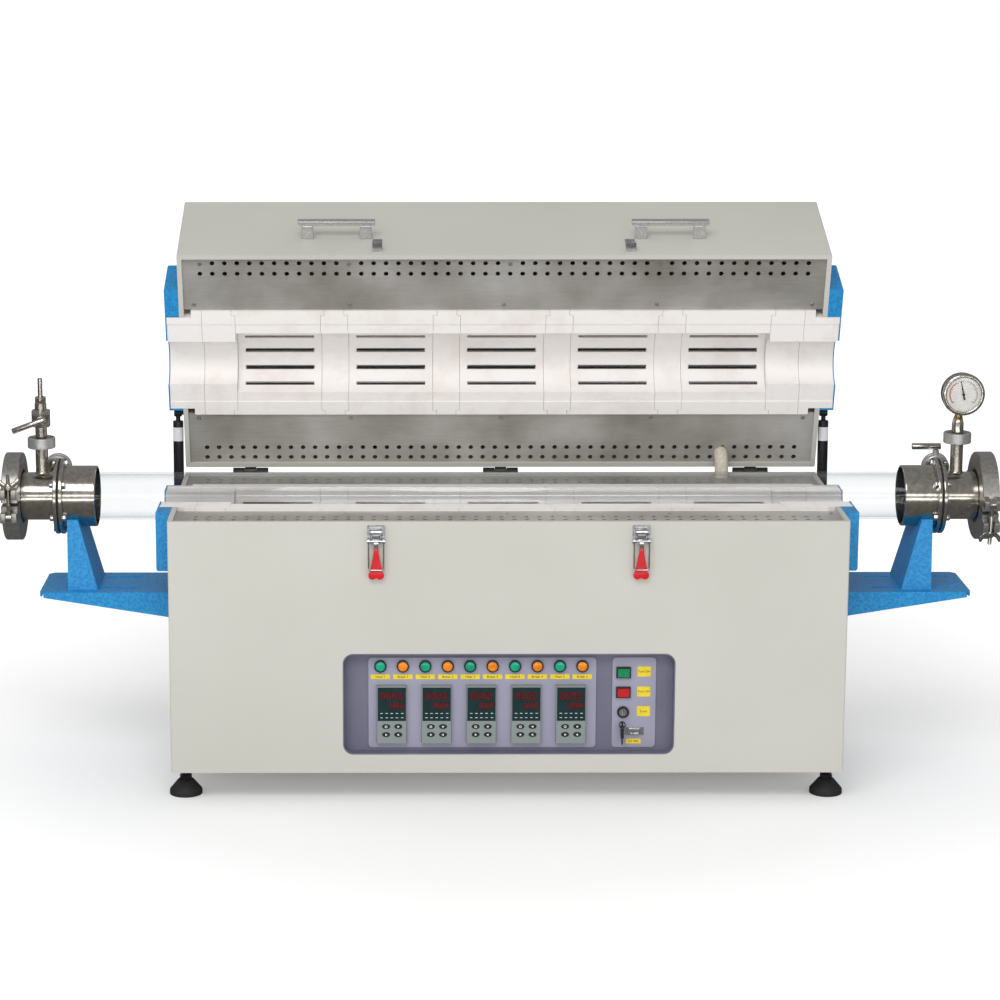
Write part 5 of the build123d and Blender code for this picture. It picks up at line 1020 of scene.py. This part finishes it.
for label, body, x, tilt in (
    ("threaded_bolt_left", "swing_bolt_left", -0.8205, 0),
    ("threaded_bolt_right", "swing_bolt_right", 0.8025, 12),
):
    shape = bmesh.new()
    section = [(0, 0), (0, 0.0033), (0.020, 0.0033)]
    for k in range(40):
        section += [(0.0206 + 0.00125 * k, 0.0035), (0.0212 + 0.00125 * k, 0.0029)]
    section += [(0.0712, 0.0033), (0.0720, 0.0025), (0.0720, 0)]
    line = [(r, 0, h - 0.0195) for h, r in section]
    revolved(shape, line, (0, 0, 0), (0, 0, 1), 24, closed=False)
    bmesh.ops.remove_doubles(shape, verts=shape.verts, dist=0.000005)
    hub_section = [
        (0.0283, 0.0036), (0.0283, 0.0064), (0.0290, 0.0070), (0.0330, 0.0066),
        (0.0366, 0.0056), (0.0372, 0.0050), (0.0372, 0.0036),
    ]
    line = [(r, 0, h) for h, r in hub_section]
    revolved(shape, line, (0, 0, 0), (0, 0, 1), 32)
    bmesh.ops.remove_doubles(shape, verts=shape.verts, dist=0.000005)
    for side in (1, -1):
        outline = (
            (0.0040, 0.0288), (0.0100, 0.0310), (0.0170, 0.0376), (0.0188, 0.0412),
            (0.0184, 0.0452), (0.0166, 0.0486), (0.0140, 0.0476), (0.0100, 0.0408),
            (0.0040, 0.0370),
        )
        wing = [shape.verts.new((side * u, -0.0017, w)) for u, w in outline]
        blade = shape.faces.new(wing)
        moved = thickened(shape, [blade], (0, 0.0034, 0))
        softened(shape, outline_at(wing + moved), 0.0011, 3)
    round_bar(shape, 0.007, 0.0084, 32, (0, 0, -0.0195), across=True)
    bmesh.ops.recalc_face_normals(shape, faces=shape.faces)
    bmesh.ops.translate(shape, verts=shape.verts, vec=(x, -0.083, 0))
    if tilt:
        over = Matrix.Rotation(math.pi, 3, "Y")
        lean = Matrix.Rotation(math.radians(tilt), 3, "X")
        bmesh.ops.rotate(shape, verts=shape.verts, cent=(x, -0.083, 0), matrix=over)
        bmesh.ops.rotate(shape, verts=shape.verts, matrix=lean)
    bmesh.ops.translate(shape, verts=shape.verts, vec=(0, 0, tube_z))
    threaded_bolt = finished(shape, label, [finishes["polished stainless"]], sharp=35)
    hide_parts(body)
    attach(threaded_bolt, body)

# ------------------------------------------------------------ latches
# The lever is a pressed steel channel with a cross pin through it. Its lower
# half is dipped in red plastic and ends in two finger lobes.
for label, body, x in (
    ("dipped_lever_left", "latch_lever_left", -0.2135),
    ("dipped_lever_right", "latch_lever_right", 0.2135),
):
    shape = bmesh.new()
    half = [(0.0035, 0.4295), (0.0040, 0.4210), (0.0056, 0.4120), (0.0076, 0.4020)]
    half += [(0.0092, 0.3950), (0.0096, 0.3905)]
    for turn in (42, 20, 0, -20, -40, -60, -80, -100):
        angle = math.radians(turn)
        half.append((0.0060 + 0.0068 * math.cos(angle), 0.3835 + 0.0068 * math.sin(angle)))
    outline = half + [(0, 0.3790)] + [(-u, w) for u, w in reversed(half)]
    grip = shape.faces.new([shape.verts.new((x + u, -0.2152, w)) for u, w in outline])
    front = grip.verts[:]
    moved = thickened(shape, [grip], (0, 0.005, 0))
    softened(shape, outline_at(front + moved), 0.0014, 3)
    red = set(shape.faces)
    for wide, tall, z in ((0.0130, 0.0190, 0.4480), (0.0072, 0.0150, 0.4340)):
        channel = block(shape, (wide, 0.0046, tall), (x, -0.2128, z))
        softened(shape, edges_at(channel), 0.0009, 2)
    for radius, long, y, z in (
        (0.0042, 0.0164, -0.2150, 0.4550), (0.0020, 0.0304, -0.2170, 0.4405),
    ):
        round_bar(shape, radius, long, 24, (x, y, z), across=True)
    bmesh.ops.recalc_face_normals(shape, faces=shape.faces)
    for face in shape.faces:
        face.material_index = 0 if face in red else 1
    lever = finished(
        shape, label, [finishes["red dipped plastic"], finishes["bright chrome"]], sharp=35
    )
    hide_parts(body)
    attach(lever, body)

# Each bail is one length of chromed wire, bent to a U with its ends curled
# round the cross pin.


def rings_along(shape, path, side, radii, sides):
    """Draw a ring of points about each point of a flat path; side is square to it."""
    rings = []
    last = len(path) - 1
    for i, (middle, radius) in enumerate(zip(path, radii)):
        across = (path[min(i + 1, last)] - path[max(i - 1, 0)]).normalized().cross(side)
        turns = [2 * math.pi * k / sides for k in range(sides)]
        spokes = [math.cos(t) * across + math.sin(t) * side for t in turns]
        rings.append([shape.verts.new(middle + radius * spoke) for spoke in spokes])
    return rings


for label, body, x in (
    ("bent_bail_left", "latch_bail_left", -0.2135),
    ("bent_bail_right", "latch_bail_right", 0.2135),
):
    shape = bmesh.new()
    path = [Vector((-0.0122, 0, 0.4405)), Vector((-0.0122, 0, 0.4200))]
    for k in range(7):
        angle = math.radians(180 + 15 * k)
        bend = (-0.0082 + 0.004 * math.cos(angle), 0, 0.397 + 0.004 * math.sin(angle))
        path.append(Vector(bend))
    path += [Vector((-p.x, 0, p.z)) for p in reversed(path)]
    path = [Vector((x, -0.217, 0)) + p for p in path]
    skinned(shape, rings_along(shape, path, Vector((0, 1, 0)), [0.0015] * len(path), 12))
    for side in (-1, 1):
        round_bar(shape, 0.0035, 0.0034, 24, (x + side * 0.0122, -0.217, 0.4405), across=True)
    bmesh.ops.recalc_face_normals(shape, faces=shape.faces)
    bail = finished(shape, label, [finishes["bright chrome"]], sharp=40)
    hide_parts(body)
    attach(bail, body)

# ------------------------------------------------------------ lid fittings
# Pull handles: a flat aluminium bar on two blocks, its edges broken by a file.
shape = bmesh.new()
for side in (-1, 1):
    bars = [(0, -0.2335, 0.131, 0.008)]
    bars += [(end * 0.0495, -0.21725, 0.020, 0.0245) for end in (-1, 1)]
    for x, y, wide, deep in bars:
        bar = block(shape, (wide, deep, 0.012), (side * 0.2825 + x, y, 0.5395))
        softened(shape, edges_at(bar), 0.0013, 3)
turned_up(shape)
filed_handles = finished(shape, "filed_handles", [finishes["satin aluminium"]], sharp=35)
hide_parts("lid_handles")
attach(filed_handles, "lid")

# Gas struts: a black painted cylinder with a paper label above a plain rod.
# Both turn on studs at their ends.
strut_foot = Vector((0.562, 0.200, 0.345))
strut_along = Vector((0, 0.032619, 0.999468))
label_low = 0.182
label_high = 0.206
for label, node, slot, eye_radius, eye_width, height, section in (
    (
        "strut_tubes",
        "strut_cylinders",
        "black_steel",
        0.0065,
        0.0130,
        0.231062,
        (
            (0.2020, 0), (0.2020, 0.0042), (0.0851, 0.0042), (0.0851, 0.0078), (0.0853, 0.0086),
            (0.0862, 0.0090), (0.1820, 0.0090), (0.1820, 0.00903), (0.2060, 0.00903),
            (0.2060, 0.0090), (0.2158, 0.0090), (0.2168, 0.0086), (0.2171, 0.0078),
            (0.2171, 0.0040), (0.2310, 0.0040), (0.2310, 0),
        ),
    ),
    (
        "strut_bars",
        "strut_rods",
        "chrome_wire",
        0.0070,
        0.0100,
        0,
        ((0, 0), (0, 0.0040), (0.1472, 0.0040), (0.1472, 0)),
    ),
):
    shape = bmesh.new()
    for side in (-1, 1):
        foot = Vector((side * strut_foot.x, strut_foot.y, strut_foot.z))
        line = [foot + strut_along * h + Vector((r, 0, 0)) for h, r in section]
        revolved(shape, line, foot, strut_along, 40, closed=False)
        eye_place = foot + strut_along * height
        round_bar(shape, eye_radius, eye_width, 32, eye_place, across=True)
    bmesh.ops.remove_doubles(shape, verts=shape.verts, dist=0.000005)
    bmesh.ops.recalc_face_normals(shape, faces=shape.faces)
    for face in shape.faces:
        up = (face.calc_center_median() - strut_foot).dot(strut_along)
        on_label = label_low < up < label_high and face.calc_area() > 0.00003
        face.material_index = int(label == "strut_tubes" and on_label)
    inks = [finishes["satin black steel"], finishes["white print"]]
    strut = finished(shape, label, inks, sharp=35)
    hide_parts(node)
    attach(strut, node)

# The heater leads run in woven glass sleeving, pushed through the two sheets.
shape = bmesh.new()
bends = ((0.1850, 0.4575), (0.1850, 0.4855), (0.1910, 0.4965), (0.21546, 0.50799))
path = []
for k in range(61):
    t = k / 60
    weights = ((1 - t) ** 3, 3 * t * (1 - t) ** 2, 3 * t * t * (1 - t), t**3)
    y = sum(w * bend[0] for w, bend in zip(weights, bends))
    z = sum(w * bend[1] for w, bend in zip(weights, bends))
    path.append(Vector((0.384, y, z)))
weave = [0.0115 + 0.0004 * (k % 2) for k in range(61)]
skinned(shape, rings_along(shape, path, Vector((1, 0, 0)), weave, 32))
bmesh.ops.recalc_face_normals(shape, faces=shape.faces)
woven_sleeve = finished(shape, "woven_sleeve", [finishes["glass sleeving"]])
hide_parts("wiring_sleeve")
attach(woven_sleeve, "base")
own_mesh(woven_sleeve)

# ------------------------------------------------------------ feet
# Moulded rubber pads on threaded studs, each locked by hexagon nuts above and
# below the floor pan.
shape = bmesh.new()
for x in (-0.53, 0.53):
    for y in (-0.155, 0.155):
        section = (
            (0, 0), (0, 0.0262), (0.0008, 0.0270), (0.0072, 0.0270), (0.0088, 0.0262),
            (0.0244, 0.0132), (0.0250, 0.0122), (0.0250, 0),
        )
        line = [(x + r, y, h) for h, r in section]
        revolved(shape, line, (x, y, 0), (0, 0, 1), 56, closed=False)
        for low, high, radius, sides in (
            (0.0250, 0.0640, 0.0060, 24), (0.0250, 0.0330, 0.0108, 6),
            (0.0420, 0.0498, 0.0108, 6), (0.0522, 0.0600, 0.0108, 6),
        ):
            round_bar(shape, radius, high - low, sides, (x, y, (low + high) / 2))
bmesh.ops.remove_doubles(shape, verts=shape.verts, dist=0.000005)
bmesh.ops.recalc_face_normals(shape, faces=shape.faces)
for face in shape.faces:
    face.material_index = int(face.calc_center_median().z > 0.0251)
moulded_feet = finished(
    shape, "moulded_feet", [finishes["black rubber"], finishes["satin black steel"]], sharp=30
)
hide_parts("levelling_feet")
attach(moulded_feet, "base")

# ------------------------------------------------------------ panel fittings
# Indicator lamps: a moulded domed lens, pushed into each black bezel.
for label, slot, lens, node, shift in (
    ("green_domes", "green_lens", "green lens", "green_lamps", -0.0183),
    ("amber_domes", "amber_lens", "amber lens", "amber_lamps", 0.0183),
):
    shape = bmesh.new()
    for i in range(5):
        x = first_lane + lane_pitch * i + shift
        section = (
            (0, 0), (0, 0.0080), (0.0030, 0.0080), (0.0038, 0.0076), (0.0044, 0.0066),
            (0.0048, 0.0048), (0.0050, 0.0024), (0.0050, 0),
        )
        line = [(x + r, -0.1890 - h, 0.226) for h, r in section]
        revolved(shape, line, (x, 0, 0.226), (0, 1, 0), 36, closed=False)
    bmesh.ops.remove_doubles(shape, verts=shape.verts, dist=0.000005)
    bmesh.ops.recalc_face_normals(shape, faces=shape.faces)
    domes = finished(shape, label, [finishes[lens]])
    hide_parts(node)
    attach(domes, "base")

# ------------------------------------------------------------ studio
# A pale floor under the feet. It shows white to the camera and keeps the
# furnace's soft shadow.
floor_mesh = bpy.data.meshes.new("floor")
shape = bmesh.new()
bmesh.ops.create_grid(shape, x_segments=1, y_segments=1, size=14)
shape.to_mesh(floor_mesh)
shape.free()
floor = bpy.data.objects.new("floor", floor_mesh)
bpy.context.collection.objects.link(floor)
floor_paint = bpy.data.materials.new("studio floor")
tree, shader, place = shading(floor_paint)
shader.inputs["Roughness"].default_value = 0.9
shader.inputs["Specular IOR Level"].default_value = 0.0
pale = tones(tree, noise(tree, place, 2.0), 0, (0.80, 0.80, 0.80), 1, (0.84, 0.84, 0.84))
ray = tree.nodes.new("ShaderNodeLightPath")
shade = tree.nodes.new("ShaderNodeMix")
shade.data_type = "RGBA"
shade.inputs[7].default_value = (0.16, 0.155, 0.145, 1)
tree.links.new(ray.outputs["Is Glossy Ray"], shade.inputs[0])
tree.links.new(pale, shade.inputs[6])
tree.links.new(shade.outputs[2], shader.inputs["Base Color"])
shader.inputs["Emission Color"].default_value = (1, 1, 1, 1)
reach = tree.nodes.new("ShaderNodeVectorMath")
reach.operation = "LENGTH"
tree.links.new(place, reach.inputs[0])
fade = ranged(tree, reach.outputs["Value"], 0.20, 0.62)
fade.node.inputs["From Min"].default_value = 0.6
fade.node.inputs["From Max"].default_value = 1.9
glow = tree.nodes.new("ShaderNodeMath")
glow.operation = "MULTIPLY"
tree.links.new(ray.outputs["Is Camera Ray"], glow.inputs[0])
tree.links.new(fade, glow.inputs[1])
tree.links.new(glow.outputs["Value"], shader.inputs["Emission Strength"])
floor.data.materials.append(floor_paint)

# Even white surroundings, dimmer as light than as background.
world = bpy.data.worlds.new("studio")
bpy.context.scene.world = world
world.use_nodes = True
tree = world.node_tree
back = tree.nodes["Background"]
back.inputs["Color"].default_value = (1, 1, 1, 1)
ray = tree.nodes.new("ShaderNodeLightPath")
seen = tree.nodes.new("ShaderNodeMath")
seen.operation = "MAXIMUM"
tree.links.new(ray.outputs["Is Camera Ray"], seen.inputs[0])
tree.links.new(ray.outputs["Is Transmission Ray"], seen.inputs[1])
level = ranged(tree, seen.outputs["Value"], 0.62, 1.0)
mirrored = tree.nodes.new("ShaderNodeMath")
mirrored.operation = "MULTIPLY"
mirrored.inputs[1].default_value = 0.36
tree.links.new(ray.outputs["Is Glossy Ray"], mirrored.inputs[0])
dimmed = tree.nodes.new("ShaderNodeMath")
dimmed.operation = "SUBTRACT"
tree.links.new(level, dimmed.inputs[0])
tree.links.new(mirrored.outputs["Value"], dimmed.inputs[1])
tree.links.new(dimmed.outputs["Value"], back.inputs["Strength"])

# One large softbox in front and above, turned to the furnace.
key_light = bpy.data.lights.new("softbox", "AREA")
key_light.shape = "RECTANGLE"
key_light.size = 3.0
key_light.size_y = 1.6
key_light.energy = 70
key = bpy.data.objects.new("softbox", key_light)
bpy.context.collection.objects.link(key)
key.location = (-0.8, -3.2, 3.4)
key.rotation_euler = (Vector((0, 0, 0.5)) - key.location).to_track_quat("-Z", "Y").to_euler()

# Two long strip lights in front, level with the furnace, put thin bright lines
# along the turned metal. The camera doesn't see them.
for height, tall, power in ((0.30, 0.28, 15), (1.15, 0.22, 12)):
    strip_light = bpy.data.lights.new("strip", "AREA")
    strip_light.shape = "RECTANGLE"
    strip_light.size = 4.6
    strip_light.size_y = tall
    strip_light.energy = power
    strip = bpy.data.objects.new("strip", strip_light)
    bpy.context.collection.objects.link(strip)
    strip.location = (0, -3.1, height)
    strip.rotation_euler = (math.pi / 2, 0, 0)
    strip.visible_camera = False

# Camera a little above and straight in front, with a long lens.
camera_data = bpy.data.cameras.new("camera")
camera_data.lens = 102.515
camera_data.sensor_width = 36
camera_data.shift_x = 0.08455
camera_data.shift_y = 0.00773
camera_data.clip_end = 100
camera = bpy.data.objects.new("camera", camera_data)
bpy.context.collection.objects.link(camera)
camera.location = (-0.16577, -4.67843, 1.43552)
camera.rotation_euler = (math.radians(78.108), 0, math.radians(-0.199))
bpy.context.scene.camera = camera
bpy.context.scene.view_settings.view_transform = "Standard"
